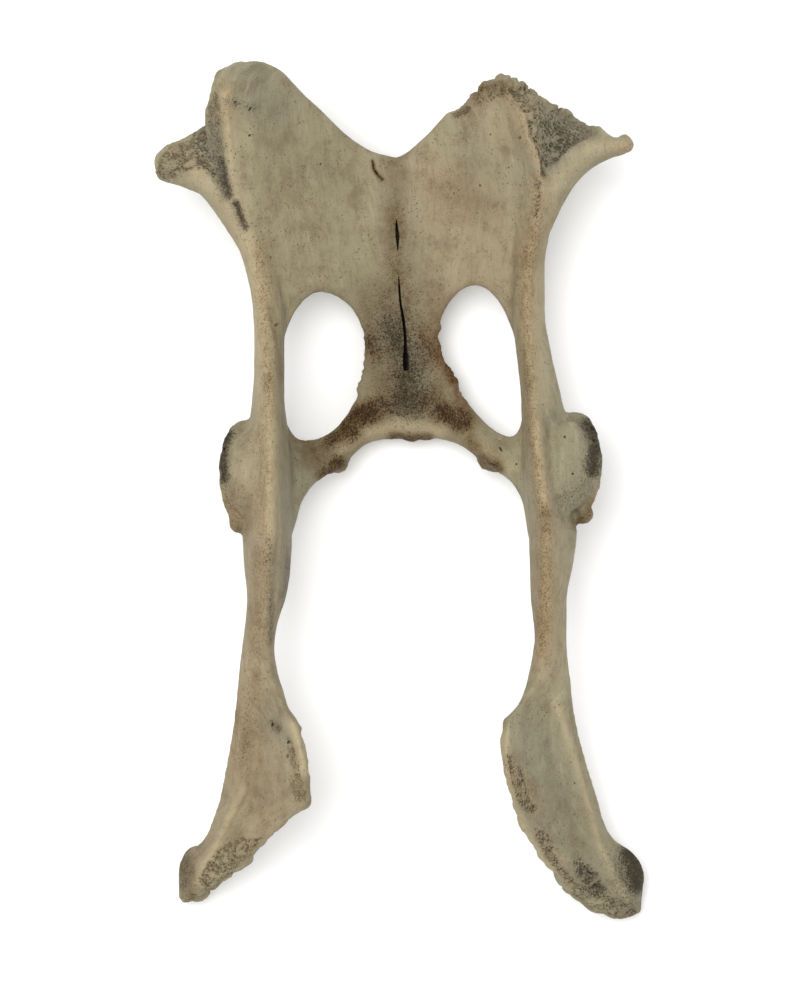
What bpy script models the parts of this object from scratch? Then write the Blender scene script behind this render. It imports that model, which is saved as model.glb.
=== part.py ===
"""Deer pelvis, life size, lying as it rests on a table with its ventral side down.

Each hip bone is a few lofted limbs, fused into one smooth solid and then parted by thin cuts into its
ilium, ischium and pubis. X runs across, Y towards the tail end, Z up. Lengths in the tables are in
millimetres, and a "reach" is a distance from the plane X = 0, measured out to one side.
"""

import math

import bmesh
import bpy
import numpy as np
from mathutils import Matrix, Vector

MM = 0.001

# Driving dimensions: where the named places lie along the bone, from the tail end to the head end
Y_TUBER = 128.0
Y_ARCH = 102.0
Y_HORN = 97.0
Y_NOTCH = 58.0
Y_BAR = 40.0
Y_PUBIS = 16.5
Y_SOCKET = 7.0
Y_BEHIND_SOCKET = -14.0
Y_SHAFT = -45.0
Y_SACRAL = -72.0
Y_CREST = -97.0
Y_TIP = -127.0

# The symphysis runs a little askew, as in the real specimen
MIDLINE_AT_ARCH = -1.1
MIDLINE_AT_PUBIS = 2.6
CUT_GAP = 0.3

SOCKET_RADIUS = 14.2
SOCKET_LIP = 2.0
SOCKET_DEPTH = 11.4
SOCKET_TILT = math.radians(25)
SOCKET_HEIGHT = 25.0
# The bowl round the socket: (distance along its axis, share of the lip's radius)
BOWL = ((-14, 0.5), (-11, 0.72), (-7, 0.88), (-3, 0.97), (-0.5, 1.0), (0.6, 0.95))
# The notch in the socket's rim: width, length and height, its way out and its lift above the floor
NOTCH_SIZE = (8.0, 22.0, 7.0)
NOTCH_OUT = 10.0
NOTCH_LIFT = 2.2

# Cuts between the three bones of one hip bone
Y_ILIUM_CUT = 6.0
Y_PUBIS_CUT = 43.0
PUBIS_REACH = 31.0
PUBIS_HEAD_END = -12.0
PAST_MIDLINE = 20.0
# Longer than the whole bone, for the blocks that cut it
FAR = 400.0

VOXEL = 1.2
SMOOTHING = 4
SIDE_TRIANGLES = 7300

# Heights of the long limb above the table: (y, height), with the two tubers added for each side
RIDGE_HEIGHT = [
    (80, 41), (Y_NOTCH, 37), (Y_BAR, 41),
    (Y_PUBIS, 50), (Y_SOCKET, 53), (Y_BEHIND_SOCKET, 52), (-30, 46), (Y_SHAFT, 42.5),
    (-58, 45.5), (Y_SACRAL, 54), (-84, 53.5), (Y_CREST, 46), (-110, 33), (-120, 21), (Y_TIP, 13),
]
OUTER_HEIGHT = [
    (80, 33), (Y_NOTCH, 28), (Y_PUBIS, 30), (Y_SHAFT, 33),
    (Y_SACRAL, 29), (Y_CREST, 19), (-112, 11), (Y_TIP, 6),
]
INNER_HEIGHT = [
    (80, 31), (Y_NOTCH, 27.5), (Y_PUBIS, 27), (Y_SOCKET, 26),
    (Y_BEHIND_SOCKET, 29), (Y_SHAFT, 35), (-58, 38.5), (Y_SACRAL, 49), (-84, 49.5), (Y_CREST, 42),
    (-110, 28), (-120, 14), (Y_TIP, 7),
]
UNDER_HEIGHT = [
    (80, 26), (Y_NOTCH, 20), (Y_BAR, 18), (Y_PUBIS, 13),
    (Y_SOCKET, 9), (Y_BEHIND_SOCKET, 14), (-30, 22), (Y_SHAFT, 25), (Y_SACRAL, 24.5),
    (Y_CREST, 14.5), (-112, 6), (Y_TIP, 0.5),
]
# How far the lowest line lies from the outer side towards the inner one, as a share
UNDER_SHARE = [(Y_TUBER, 0.5), (Y_SHAFT, 0.5), (Y_SACRAL, 0.2), (Y_TIP, 0.3)]
# How the faces of the limb bend: 1 is round, 2 is flat, more is hollow
OUTER_FACE = [(Y_TUBER, 1.6), (Y_NOTCH, 1.3), (Y_SOCKET, 1.8), (Y_SHAFT, 1.2), (Y_SACRAL, 2.1), (Y_TIP, 1.5)]
INNER_FACE = [(Y_TUBER, 1.4), (Y_NOTCH, 1.2), (Y_SOCKET, 1.3), (Y_SHAFT, 1.1), (Y_TIP, 1.0)]
UNDER_INNER_FACE = [(Y_TUBER, 1.2), (Y_SHAFT, 1.1), (Y_SACRAL, 1.8), (Y_TIP, 1.4)]

# The floor of the pelvis: middle height at the symphysis and where it meets the limb
FLOOR_MIDDLE = [(130, 20), (Y_ARCH, 17.5), (70, 12), (Y_BAR, 7.5), (20, 5.0), (-15, 5.0)]
FLOOR_SIDE = [
    (130, 44), (116, 42.5), (Y_HORN, 38.5), (80, 34), (Y_NOTCH, 29), (Y_BAR, 25.5), (Y_PUBIS, 23.5),
    (-15, 27),
]
FLOOR_BEND = 1.45
FLOOR_WIDTH = 40.0
FLOOR_FREE = 34.0
FLOOR_END = 50.0
FLOOR_THICK = 2.3
SYMPHYSIS_THICK = 2.6
SYMPHYSIS_WIDTH = 9.0
RAMUS_THICK = 2.6
RAMUS_WIDTH = 9.0
RAMUS_FROM_EDGE = 7.0
KEEL_DEPTH = 1.6
KEEL_WIDTH = 4.0
EDGE_RADIUS = 3.0
OVERLAP = 4.0
FORAMEN_RIM = 2.4
FORAMEN_FLARE = 0.9

SIDES = {
    "right": {
        "side": -1,
        "ridge_height": [(131, 52), (116, 51), (Y_HORN, 46.5)],
        "outer_height": [(131, 45), (Y_HORN, 39)],
        "inner_height": [(131, 42), (116, 42), (Y_HORN, 37.5)],
        "under_height": [(131, 40), (116, 37), (Y_HORN, 31)],
        "outer": [
            (130.6, 46), (129, 53), (127.8, 55.6), (124, 57.2), (120, 58), (116.8, 59.5), (112, 59.6),
            (104, 58),
            (92, 55), (80, 51.5), (68, 47), (55, 44.8), (43, 44.4), (28, 45.2), (18, 46.5), (3, 47.5),
            (-12, 48), (-21, 47.7), (-33, 46.6), (Y_SHAFT, 47.9), (-58, 49.4), (-70, 50.8), (-82, 52.9),
            (-94, 55.3), (-100, 57.2), (-104, 58.6), (-107, 60.4), (-110, 64), (-114, 67.6), (-118, 68),
            (-124, 67.7), (-126.6, 66.5),
        ],
        "ridge": [
            (130.6, 44), (126, 51), (116, 53.4), (104, 52.4), (92, 50.2), (80, 47), (68, 43.8), (55, 41.3),
            (43, 40.4), (3, 40), (-33, 40.4), (Y_SHAFT, 41.5), (-58, 39.4), (-70, 33), (-82, 30.2),
            (-94, 29.2), (-100, 35.5), (-107, 43), (-118, 55), (-124, 61.5), (-126.6, 64),
        ],
        "inner": [
            (130.6, 36), (126, 40), (116, 44), (92, 42), (68, 37), (55, 35), (43, 35.2), (28, 35.2),
            (18, 34), (3, 33), (-12, 33), (-21, 33.2), (-33, 34.9), (-41, 37.4), (-48, 38.3),
            (-55, 37.2), (-62.5, 34.9), (-66, 33.9), (-69.5, 31.2), (-74, 29.5), (-82, 28), (-91.8, 26.8),
            (-95.5, 26.9), (-99, 32.6), (-103, 36.8), (-107, 40.8), (-110, 43.5), (-114, 46),
            (-117.4, 51.4), (-121, 55.6), (-124.7, 64), (-126.6, 65.4),
        ],
        "tail_edge": [
            (0, 102), (1.6, 102.4), (7, 103.9), (11.1, 106.1), (15.9, 109.8), (19.5, 113.5), (23.1, 117.1),
            (27, 120.8), (30.6, 124.6), (33.6, 128.2), (38, 130.8), (50, 131),
        ],
        "head_edge": [
            (0, 15), (5, 16), (10.5, 15.2), (13.1, 14.2), (17.5, 10.7), (20.7, 7.4), (28.2, 3.2),
            (31.7, -0.5), (34, -4.3), (36.4, -8.4), (39, -12.4), (47, -24),
        ],
        "floor_limit": [(130, 49.5), (95, 48), (78, 43.5), (66, 40), (-20, 38)],
        "foramen": {
            "lateral": (-36.6, 37), "tail": (-24.5, 60.6), "medial": (-11, 45), "head": (-29.2, 15.6),
        },
        "foramen_bends": (1.1, 1.05, 0.95, 0.9),
        "horn": {
            "reach": [44, 50, 55, 59, 61, 63.6, 67.3, 70.6, 73.4, 74.8],
            "tail": [104, 107, 111.8, 112, 110.9, 109.4, 107.3, 105.8, 103.8, 102],
            "head": [66, 75.2, 82.6, 88, 90.2, 91.3, 92.8, 93.6, 94.6, 96.4],
        },
        "socket": (48.4, 5.6),
        "tubercle": (49.6, -9.5),
        "tip": (62.6, -117.6),
        "gluteal": [(45, -50), (46, -70), (48, -88), (52.5, -103), (60, -117)],
        "eminence": (20.6, 8.2),
    },
    "left": {
        "side": 1,
        "ridge_height": [(126, 41), (120, 43.5), (113, 46), (104, 46), (Y_HORN, 44.5)],
        "outer_height": [(126, 37), (116, 38), (Y_HORN, 37)],
        "inner_height": [(126, 33), (116, 34), (Y_HORN, 33.5)],
        "under_height": [(126, 30), (116, 30.5), (Y_HORN, 28.5)],
        "outer": [
            (125.4, 33.5), (123, 39), (120, 44), (117, 48.5), (112, 50), (98, 49.5), (88, 48.2), (80, 46),
            (68, 44.2), (55, 44.2), (43, 46), (28, 49.4), (18, 51.6), (3, 53), (-12, 54), (-21, 53),
            (-33, 50.9), (Y_SHAFT, 50.8), (-58, 52), (-70, 53.7), (-82, 56.8), (-94, 60.5), (-103, 63.3),
            (-107, 66), (-110, 70.6), (-114, 74), (-118, 75.2), (-122, 74.6), (-128.4, 74.2), (-130.8, 71),
        ],
        "ridge": [
            (125.4, 31), (120, 35), (113, 39), (104, 41), (92, 43), (80, 42), (68, 39.6), (55, 38.8),
            (43, 39.2), (28, 40), (3, 42), (-12, 44), (-33, 44.4), (Y_SHAFT, 45), (-58, 42),
            (-70, 33.2), (-82, 32.6), (-94, 35.6), (-106, 41.5), (-118, 50), (-124, 57), (-130.8, 67),
        ],
        "inner": [
            (125.4, 26), (116, 30), (92, 35.5), (68, 34.5), (55, 34.2), (43, 35.4), (28, 37), (18, 37.2),
            (3, 37.4), (-12, 39.2), (-21, 39.5), (-33, 39.9), (Y_SHAFT, 41), (-50, 40.3), (-55, 39.3),
            (-58.5, 38.5), (-62.5, 37), (-66.2, 34.9), (-70, 31.3), (-76, 30.6), (-81, 30.8), (-88, 32),
            (-95, 34.1), (-99, 35.3), (-103, 36.3), (-106.4, 39.5), (-110, 41.3), (-114, 44.3),
            (-117.4, 46.8), (-121, 48.8), (-124.7, 53), (-128.4, 58.2), (-130.8, 64),
        ],
        "tail_edge": [
            (0, 102), (3, 103.4), (6.3, 106.1), (10.6, 109.9), (14, 113.5), (18.4, 116.9), (24, 120.4),
            (26.2, 124), (29, 125.2), (33.5, 124.2), (42, 120), (50, 115),
        ],
        "head_edge": [
            (0, 15), (5, 16.2), (10.5, 15.7), (15.3, 14.2), (20.3, 10.7), (23.5, 7.8), (30.4, 3.2),
            (32.7, -0.4), (34.3, -4), (36.5, -8.6), (38.5, -13), (47, -24),
        ],
        "floor_limit": [(130, 44), (95, 42), (66, 39.5), (40, 40.5), (-20, 42)],
        "foramen": {
            "lateral": (37.4, 27), "tail": (22.8, 62.8), "medial": (12.2, 49), "head": (33.6, 16.8),
        },
        "foramen_bends": (1.02, 1.15, 1.3, 0.8),
        "horn": {
            "reach": [42, 46, 50, 54, 58.7, 62.7, 66, 69, 71],
            "tail": [116, 117.6, 117, 113.6, 111.3, 109.5, 107.9, 107.4, 107.2],
            "head": [72, 79, 87.5, 93.8, 98.2, 100.4, 101.7, 102.5, 103.6],
        },
        "socket": (54.7, 8.2),
        "tubercle": (56.2, -7.0),
        "tip": (69.4, -120.8),
        "gluteal": [(47.5, -50), (49.5, -76), (53, -90), (57.5, -103), (65, -117)],
        "eminence": (28.5, 8.4),
    },
}
HORN_TOP = [(42, 45), (50, 44), (60, 41), (70, 37.5), (75, 36.5)]
HORN_UNDER = [(42, 31), (50, 30), (60, 29.5), (70, 29.5), (75, 30.5)]
# Where the horn's roof and its lowest line lie between its head side and its tail side, as shares
HORN_ROOF = 0.45
HORN_KEEL = 0.5

# Small swellings: height of the centre above the table, and the three radii
TUBERCLE = (36, (3.2, 4, 4.5))
EMINENCE = (10.5, (4.6, 2.8, 4))
TIP_OF_CREST = (6.6, (5.2, 9, 7.6))

# The low gluteal ridge: its radius at the ends, how much more at the middle, and how deep it sits
GLUTEAL_RADIUS = 2.2
GLUTEAL_SWELL = 1.2
GLUTEAL_SUNK = 1.2

BONE = {"ilium": (0.60, 0.55, 0.44), "ischium": (0.63, 0.59, 0.48), "pubis": (0.50, 0.44, 0.34)}


def through(points, at):
    """A smooth curve through (place, value) points, read at the places asked for, with no overshoot."""
    places, values = np.array(sorted(points), float).T
    steps = np.diff(places)
    slopes = np.diff(values) / steps
    tangents = np.zeros(len(places))
    inner = slopes[:-1] * slopes[1:] > 0
    tangents[1:-1][inner] = 2 / (1 / slopes[:-1][inner] + 1 / slopes[1:][inner])
    tangents[0], tangents[-1] = slopes[0], slopes[-1]
    at = np.clip(np.asarray(at, float), places[0], places[-1])
    i = np.clip(np.searchsorted(places, at) - 1, 0, len(steps) - 1)
    h = steps[i]
    t = (at - places[i]) / h
    return (
        values[i] * (1 + 2 * t) * (1 - t) ** 2
        + values[i + 1] * (3 - 2 * t) * t**2
        + h * t * (1 - t) * (tangents[i] * (1 - t) - tangents[i + 1] * t)
    )


def quarter_loop(corners, bends, steps):
    """A closed outline of four arcs through its outer, top, inner and lowest points."""
    points = []
    for i in range(4):
        (u0, v0), (u1, v1) = corners[i], corners[(i + 1) % 4]
        for k in range(steps):
            angle = math.pi / 2 * k / steps
            rise = math.sin(angle) ** bends[i]
            fall = 1 - math.cos(angle) ** bends[i]
            su, sv = (fall, rise) if i % 2 == 0 else (rise, fall)
            points.append((u0 + (u1 - u0) * su, v0 + (v1 - v0) * sv))
    return points


def make_object(name, bm):
    bmesh.ops.recalc_face_normals(bm, faces=bm.faces)
    mesh = bpy.data.meshes.new(name)
    bm.to_mesh(mesh)
    bm.free()
    obj = bpy.data.objects.new(name, mesh)
    bpy.context.scene.collection.objects.link(obj)
    return obj


def loft(name, rings):
    """A closed solid through rings of equally many points, given in millimetres."""
    bm = bmesh.new()
    rows = [[bm.verts.new(Vector(p) * MM) for p in ring] for ring in rings]
    count = len(rows[0])
    for a, b in zip(rows, rows[1:]):
        for k in range(count):
            bm.faces.new((a[k], a[(k + 1) % count], b[(k + 1) % count], b[k]))
    bm.faces.new(rows[0])
    bm.faces.new(rows[-1])
    return make_object(name, bm)


def ellipsoid(name, centre, radii):
    bm = bmesh.new()
    matrix = Matrix.Translation(Vector(centre) * MM) @ Matrix.Diagonal((*[r * MM for r in radii], 1))
    bmesh.ops.create_icosphere(bm, subdivisions=3, radius=1, matrix=matrix)
    return make_object(name, bm)


def long_limb(name, form):
    """The strong limb from the ischial tuber past the hip socket to the iliac crest."""
    side = form["side"]
    tail, head = form["outer"][0][0], form["outer"][-1][0]
    rings = []
    for y in np.linspace(tail, head, 84):
        outer, ridge, inner = (through(form[key], y) for key in ("outer", "ridge", "inner"))
        under = outer + (inner - outer) * through(UNDER_SHARE, y)
        corners = [
            (outer, through(form["outer_height"] + OUTER_HEIGHT, y)),
            (ridge, through(form["ridge_height"] + RIDGE_HEIGHT, y)),
            (inner, through(form["inner_height"] + INNER_HEIGHT, y)),
            (under, through(form["under_height"] + UNDER_HEIGHT, y)),
        ]
        bends = [through(OUTER_FACE, y), through(INNER_FACE, y), through(UNDER_INNER_FACE, y), 1.1]
        rings.append([(side * u, y, v) for u, v in quarter_loop(corners, bends, 6)])
    return loft(name, rings)


def midline(y):
    """Where the symphysis lies across the bone."""
    share = (Y_ARCH - y) / (Y_ARCH - Y_PUBIS)
    return MIDLINE_AT_ARCH + (MIDLINE_AT_PUBIS - MIDLINE_AT_ARCH) * share


def floor_height(out, y):
    """Middle height of the pelvic floor, a trough that climbs from the symphysis to the limbs."""
    middle, side = through(FLOOR_MIDDLE, y), through(FLOOR_SIDE, y)
    return middle + (side - middle) * (min(abs(out) / FLOOR_WIDTH, 1.1)) ** FLOOR_BEND


def pelvic_floor(name, form):
    """The ischial table and the pubis, one curved plate from the symphysis into the long limb."""
    side = form["side"]
    rings = []
    for out in np.linspace(-OVERLAP, FLOOR_END, 30):
        tail, head = through(form["tail_edge"], out), through(form["head_edge"], out)
        upper, lower = [], []
        for v in np.sin(np.linspace(-math.pi / 2, math.pi / 2, 31)):
            y = (tail + head) / 2 + v * (head - tail) / 2
            to_edge = max(0.0, (1 - abs(v)) * (tail - head) / 2)
            edge = math.sqrt(1 - (1 - min(to_edge / EDGE_RADIUS, 1)) ** 2)
            ramus = RAMUS_THICK * math.exp(-(((y - head - RAMUS_FROM_EDGE) / RAMUS_WIDTH) ** 2))
            symphysis = SYMPHYSIS_THICK * math.exp(-((out / SYMPHYSIS_WIDTH) ** 2))
            thick = (FLOOR_THICK + symphysis + ramus) * edge
            keel = KEEL_DEPTH * math.exp(-((out / KEEL_WIDTH) ** 2)) * edge
            limit = through(form["floor_limit"], y) - side * midline(y)
            squeeze = (limit - FLOOR_FREE) / (FLOOR_END - FLOOR_FREE)
            across = min(out, FLOOR_FREE) + max(out - FLOOR_FREE, 0) * squeeze
            z = floor_height(across, y)
            upper.append((midline(y) + side * across, y, z + thick + 0.01))
            lower.append((midline(y) + side * across, y, z - thick - keel - 0.01))
        rings.append(upper + lower[::-1])
    return loft(name, rings)


def foramen_cutter(name, form):
    """The hole between ischium and pubis, flared above and below so that its rim comes out round."""
    corners = [form["foramen"][place] for place in ("lateral", "tail", "medial", "head")]
    outline = quarter_loop(corners, form["foramen_bends"], 10)
    centre = np.mean(outline, axis=0)
    rim = FORAMEN_RIM
    rings = []
    for h in (-16, -9, -5, -rim, -1.5, 0, 1.5, rim, 5, 9, 16):
        flare = rim - math.sqrt(max(rim**2 - h**2, 0)) + max(abs(h) - rim, 0) * FORAMEN_FLARE
        ring = []
        for x, y in outline:
            direction = np.array([x, y]) - centre
            direction /= np.linalg.norm(direction)
            rim_z = floor_height(abs(x - midline(y)), y)
            ring.append((x + direction[0] * flare, y + direction[1] * flare, rim_z + h))
        rings.append(ring)
    return loft(name, rings)


def tuber_horn(name, form):
    """The outer process of the ischial tuber, a roof-shaped horn that points outwards."""
    side, horn = form["side"], form["horn"]
    tail = list(zip(horn["reach"], horn["tail"]))
    head = list(zip(horn["reach"], horn["head"]))
    rings = []
    for reach in np.linspace(horn["reach"][0], horn["reach"][-1], 18):
        y_tail, y_head = through(tail, reach), through(head, reach)
        top, under = through(HORN_TOP, reach), through(HORN_UNDER, reach)
        middle = (top + under) / 2
        corners = [
            (y_tail, middle - 2),
            (y_head + (y_tail - y_head) * HORN_ROOF, top),
            (y_head, middle - 1),
            (y_head + (y_tail - y_head) * HORN_KEEL, under),
        ]
        loop = quarter_loop(corners, (1.5, 1.4, 1.1, 1.1), 5)
        rings.append([(side * reach, v, z) for v, z in loop])
    return loft(name, rings)


def socket_axis(form):
    """The way the hip socket faces: outwards and a little down."""
    return Vector((form["side"] * math.cos(SOCKET_TILT), 0, -math.sin(SOCKET_TILT)))


def socket_centre(form):
    reach, y = form["socket"]
    return Vector((form["side"] * reach, y, SOCKET_HEIGHT))


def socket_bowl(name, form):
    """The bowl of bone that stands out from the limb and carries the hip socket."""
    axis = socket_axis(form)
    up = Vector((0, 1, 0)).cross(axis).normalized()
    centre = socket_centre(form)
    lip = SOCKET_RADIUS + SOCKET_LIP
    rings = []
    for along, share in BOWL:
        ring = []
        for k in range(40):
            angle = 2 * math.pi * k / 40
            spoke = Vector((0, 1, 0)) * math.cos(angle) + up * math.sin(angle)
            ring.append(centre + axis * along + spoke * lip * share)
        rings.append(ring)
    return loft(name, rings)


def socket_cutters(form):
    """The round cup, its rough floor, and the notch where the rim is open towards the foramen."""
    axis, centre = socket_axis(form), socket_centre(form)
    up = Vector((0, 1, 0)).cross(axis).normalized()
    down = -up if up.z > 0 else up
    lift = SOCKET_RADIUS - SOCKET_DEPTH
    cup = ellipsoid("cup", centre + axis * lift, (SOCKET_RADIUS,) * 3)
    way = (down * 0.8 + Vector((0, 0.6, 0))).normalized()
    across = axis.cross(way).normalized()
    bm = bmesh.new()
    bmesh.ops.create_cube(bm, size=1)
    bmesh.ops.bevel(bm, geom=bm.edges, offset=0.3, segments=3, affect="EDGES")
    size = Matrix.Diagonal((*[length * MM for length in NOTCH_SIZE], 1))
    turn = Matrix((across, way, axis)).transposed().to_4x4()
    place = Matrix.Translation((centre + way * NOTCH_OUT - axis * (SOCKET_DEPTH - NOTCH_LIFT)) * MM)
    bm.transform(place @ turn @ size)
    return [cup, make_object("notch", bm)]


def ridge_rod(name, form):
    """The low gluteal ridge along the outer side of the iliac wing."""
    rings = []
    line = form["gluteal"]
    for y in np.linspace(line[0][1], line[-1][1], 24):
        reach = through([(b, a) for a, b in line], y)
        outer, ridge = through(form["outer"], y), through(form["ridge"], y)
        share = (outer - reach) / (outer - ridge)
        low, high = through(OUTER_HEIGHT, y), through(RIDGE_HEIGHT, y)
        z = low + (high - low) * (0.1 + 0.9 * share) - GLUTEAL_SUNK
        along = (y - line[0][1]) / (line[-1][1] - line[0][1])
        radius = GLUTEAL_RADIUS + GLUTEAL_SWELL * math.sin(math.pi * along)
        ring = []
        for k in range(10):
            angle = 2 * math.pi * k / 10
            ring.append((form["side"] * (reach + radius * math.cos(angle)), y, z + radius * math.sin(angle)))
        rings.append(ring)
    return loft(name, rings)


def small_bumps(form):
    """The tubercle in front of the socket, the eminence of the pubis and the end of the iliac crest."""
    bumps = []
    for place, (height, radii) in (("tubercle", TUBERCLE), ("eminence", EMINENCE), ("tip", TIP_OF_CREST)):
        reach, y = form[place]
        bumps.append(ellipsoid(place, (form["side"] * reach, y, height), radii))
    return bumps


def boolean(obj, operation, others):
    """Applies one Boolean of a collection of closed meshes, and removes them."""
    collection = bpy.data.collections.new("operands")
    bpy.context.scene.collection.children.link(collection)
    for other in others:
        bpy.context.scene.collection.objects.unlink(other)
        collection.objects.link(other)
    modifier = obj.modifiers.new(operation, "BOOLEAN")
    modifier.operation = operation
    modifier.operand_type = "COLLECTION"
    modifier.collection = collection
    modifier.solver = "EXACT"
    bake(obj)
    for other in others:
        bpy.data.objects.remove(other)
    bpy.data.collections.remove(collection)
    return obj


def bake(obj):
    """Replaces the mesh by what its modifiers make of it."""
    graph = bpy.context.evaluated_depsgraph_get()
    graph.update()
    mesh = bpy.data.meshes.new_from_object(obj.evaluated_get(graph), depsgraph=graph)
    obj.modifiers.clear()
    obj.data = mesh
    return obj


def soften(obj):
    """Fuses the limbs into one bone with rounded joints, and keeps few faces."""
    remesh = obj.modifiers.new("remesh", "REMESH")
    remesh.mode = "VOXEL"
    remesh.voxel_size = VOXEL * MM
    smooth = obj.modifiers.new("smooth", "SMOOTH")
    smooth.factor = 0.5
    smooth.iterations = SMOOTHING
    bake(obj)
    triangles = sum(len(p.vertices) - 2 for p in obj.data.polygons)
    decimate = obj.modifiers.new("decimate", "DECIMATE")
    decimate.ratio = min(1, SIDE_TRIANGLES / triangles)
    return bake(obj)


def block(name, low, high, turn=0.0, place=(0, 0, 0)):
    """A plain box between two corners, turned about Z and then moved, used as a cutter."""
    low, high = Vector(low) * MM, Vector(high) * MM
    bm = bmesh.new()
    bmesh.ops.create_cube(bm, size=1)
    bm.transform(Matrix.Translation((low + high) / 2) @ Matrix.Diagonal((*(high - low), 1)))
    bm.transform(Matrix.Translation(Vector(place) * MM) @ Matrix.Rotation(turn, 4, "Z"))
    return make_object(name, bm)


def beyond_midline(form):
    """All that lies past the symphysis, seen from this hip bone."""
    lean = math.atan2(MIDLINE_AT_PUBIS - MIDLINE_AT_ARCH, Y_ARCH - Y_PUBIS)
    reach = sorted((form["side"] * CUT_GAP / 2, -form["side"] * FAR))
    return block("midline", (reach[0], -FAR, -FAR), (reach[1], FAR, FAR), lean, (midline(0), 0, 0))


def hip_bone(key, form):
    """One whole hip bone, from its limbs and its hollows."""
    floor = boolean(pelvic_floor("floor", form), "DIFFERENCE", [foramen_cutter("foramen", form)])
    limb = long_limb("hip_" + key, form)
    limbs = [floor, tuber_horn("horn", form), socket_bowl("bowl", form), ridge_rod("gluteal", form)]
    limbs += small_bumps(form)
    boolean(limb, "UNION", limbs)
    boolean(limb, "DIFFERENCE", socket_cutters(form))
    soften(limb)
    return boolean(limb, "DIFFERENCE", [beyond_midline(form)])


def largest_body(obj):
    """Keeps the largest closed surface and drops loose scraps."""
    bm = bmesh.new()
    bm.from_mesh(obj.data)
    left, bodies = set(bm.verts), []
    while left:
        stack = [left.pop()]
        body = set(stack)
        while stack:
            for edge in stack.pop().link_edges:
                for vert in edge.verts:
                    if vert in left:
                        left.discard(vert)
                        body.add(vert)
                        stack.append(vert)
        bodies.append(body)
    keep = max(bodies, key=len)
    bmesh.ops.delete(bm, geom=[v for v in bm.verts if v not in keep], context="VERTS")
    bm.to_mesh(obj.data)
    bm.free()


def bone_material(name, colour):
    material = bpy.data.materials.new(name)
    material.use_nodes = True
    shader = material.node_tree.nodes["Principled BSDF"]
    shader.inputs["Base Color"].default_value = (*colour, 1)
    shader.inputs["Roughness"].default_value = 0.62
    shader.inputs["Metallic"].default_value = 0.0
    return material


def part_hip_bone(key, form, whole):
    """Parts one hip bone into ilium, ischium and pubis, with a thin gap at each cut."""
    side, half = form["side"], CUT_GAP / 2
    near = sorted((side * -PAST_MIDLINE, side * PUBIS_REACH))
    regions = {
        "ilium": ("INTERSECT", [((-FAR, -FAR, -FAR), (FAR, Y_ILIUM_CUT - half, FAR))]),
        "pubis": ("INTERSECT", [((near[0], PUBIS_HEAD_END, -FAR), (near[1], Y_PUBIS_CUT, FAR))]),
        "ischium": ("DIFFERENCE", [
            ((-FAR, -FAR, -FAR), (FAR, Y_ILIUM_CUT + half, FAR)),
            ((near[0] - CUT_GAP, -FAR, -FAR), (near[1] + CUT_GAP, Y_PUBIS_CUT + CUT_GAP, FAR)),
        ]),
    }
    for bone, (operation, boxes) in regions.items():
        obj = bpy.data.objects.new(f"{bone}_{key}", whole.data.copy())
        bpy.context.scene.collection.objects.link(obj)
        for low, high in boxes:
            boolean(obj, operation, [block("cut", low, high)])
        if bone == "ilium":
            low = (near[0] - CUT_GAP, PUBIS_HEAD_END - CUT_GAP, -FAR)
            high = (near[1] + CUT_GAP, FAR, FAR)
            boolean(obj, "DIFFERENCE", [block("cut", low, high)])
        boolean(obj, "DIFFERENCE", [block("table", (-FAR, -FAR, -FAR), (FAR, FAR, 0))])
        largest_body(obj)
        obj.data.materials.clear()
        obj.data.materials.append(bone_material(f"{bone}_{key}", BONE[bone]))
        obj.data.shade_smooth()
        obj.data.set_sharp_from_angle(angle=math.radians(40))
    bpy.data.objects.remove(whole)


for old in list(bpy.data.objects):
    bpy.data.objects.remove(old)
for key, form in SIDES.items():
    part_hip_bone(key, form, hip_bone(key, form))
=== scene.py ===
"""The looks of a deer pelvis that lies on a pale table, seen from straight above.

The pelvis is one dry, weathered bone in two hip bones, grown together at the symphysis. Each is made here as
one piece that stands for its three CAD nodes. Lengths are in millimetres until a mesh is written, in metres.
"""

import math

import bmesh
import bpy
import numpy as np
from mathutils import Matrix, Vector, noise
from mathutils.bvhtree import BVHTree


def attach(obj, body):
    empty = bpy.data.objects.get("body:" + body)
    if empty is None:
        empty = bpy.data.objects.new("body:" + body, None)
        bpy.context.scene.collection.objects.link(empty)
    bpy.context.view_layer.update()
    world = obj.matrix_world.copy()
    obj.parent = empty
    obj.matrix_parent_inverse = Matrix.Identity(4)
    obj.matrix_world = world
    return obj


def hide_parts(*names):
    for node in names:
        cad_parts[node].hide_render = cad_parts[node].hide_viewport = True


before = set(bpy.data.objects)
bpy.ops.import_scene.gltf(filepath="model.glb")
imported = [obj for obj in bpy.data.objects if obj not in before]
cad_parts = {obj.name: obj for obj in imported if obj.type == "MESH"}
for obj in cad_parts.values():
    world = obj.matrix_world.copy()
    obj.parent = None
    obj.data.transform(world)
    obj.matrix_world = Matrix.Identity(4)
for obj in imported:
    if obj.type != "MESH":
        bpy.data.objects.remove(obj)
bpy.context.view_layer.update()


# The long limb
# The strongest part of a hip bone, from the tuber at the tail end past the hip socket to the iliac crest.
# Its outline and its ridge are those of the CAD part, drawn through more rings.

MM = 0.001
Y_TUBER, Y_ARCH, Y_HORN, Y_NOTCH, Y_BAR, Y_PUBIS = 128.0, 102.0, 97.0, 58.0, 40.0, 16.5
Y_SOCKET, Y_BEHIND_SOCKET, Y_SHAFT, Y_SACRAL, Y_CREST, Y_TIP = 7.0, -14.0, -45.0, -72.0, -97.0, -127.0
MIDLINE_AT_ARCH, MIDLINE_AT_PUBIS = -1.1, 2.6

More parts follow.
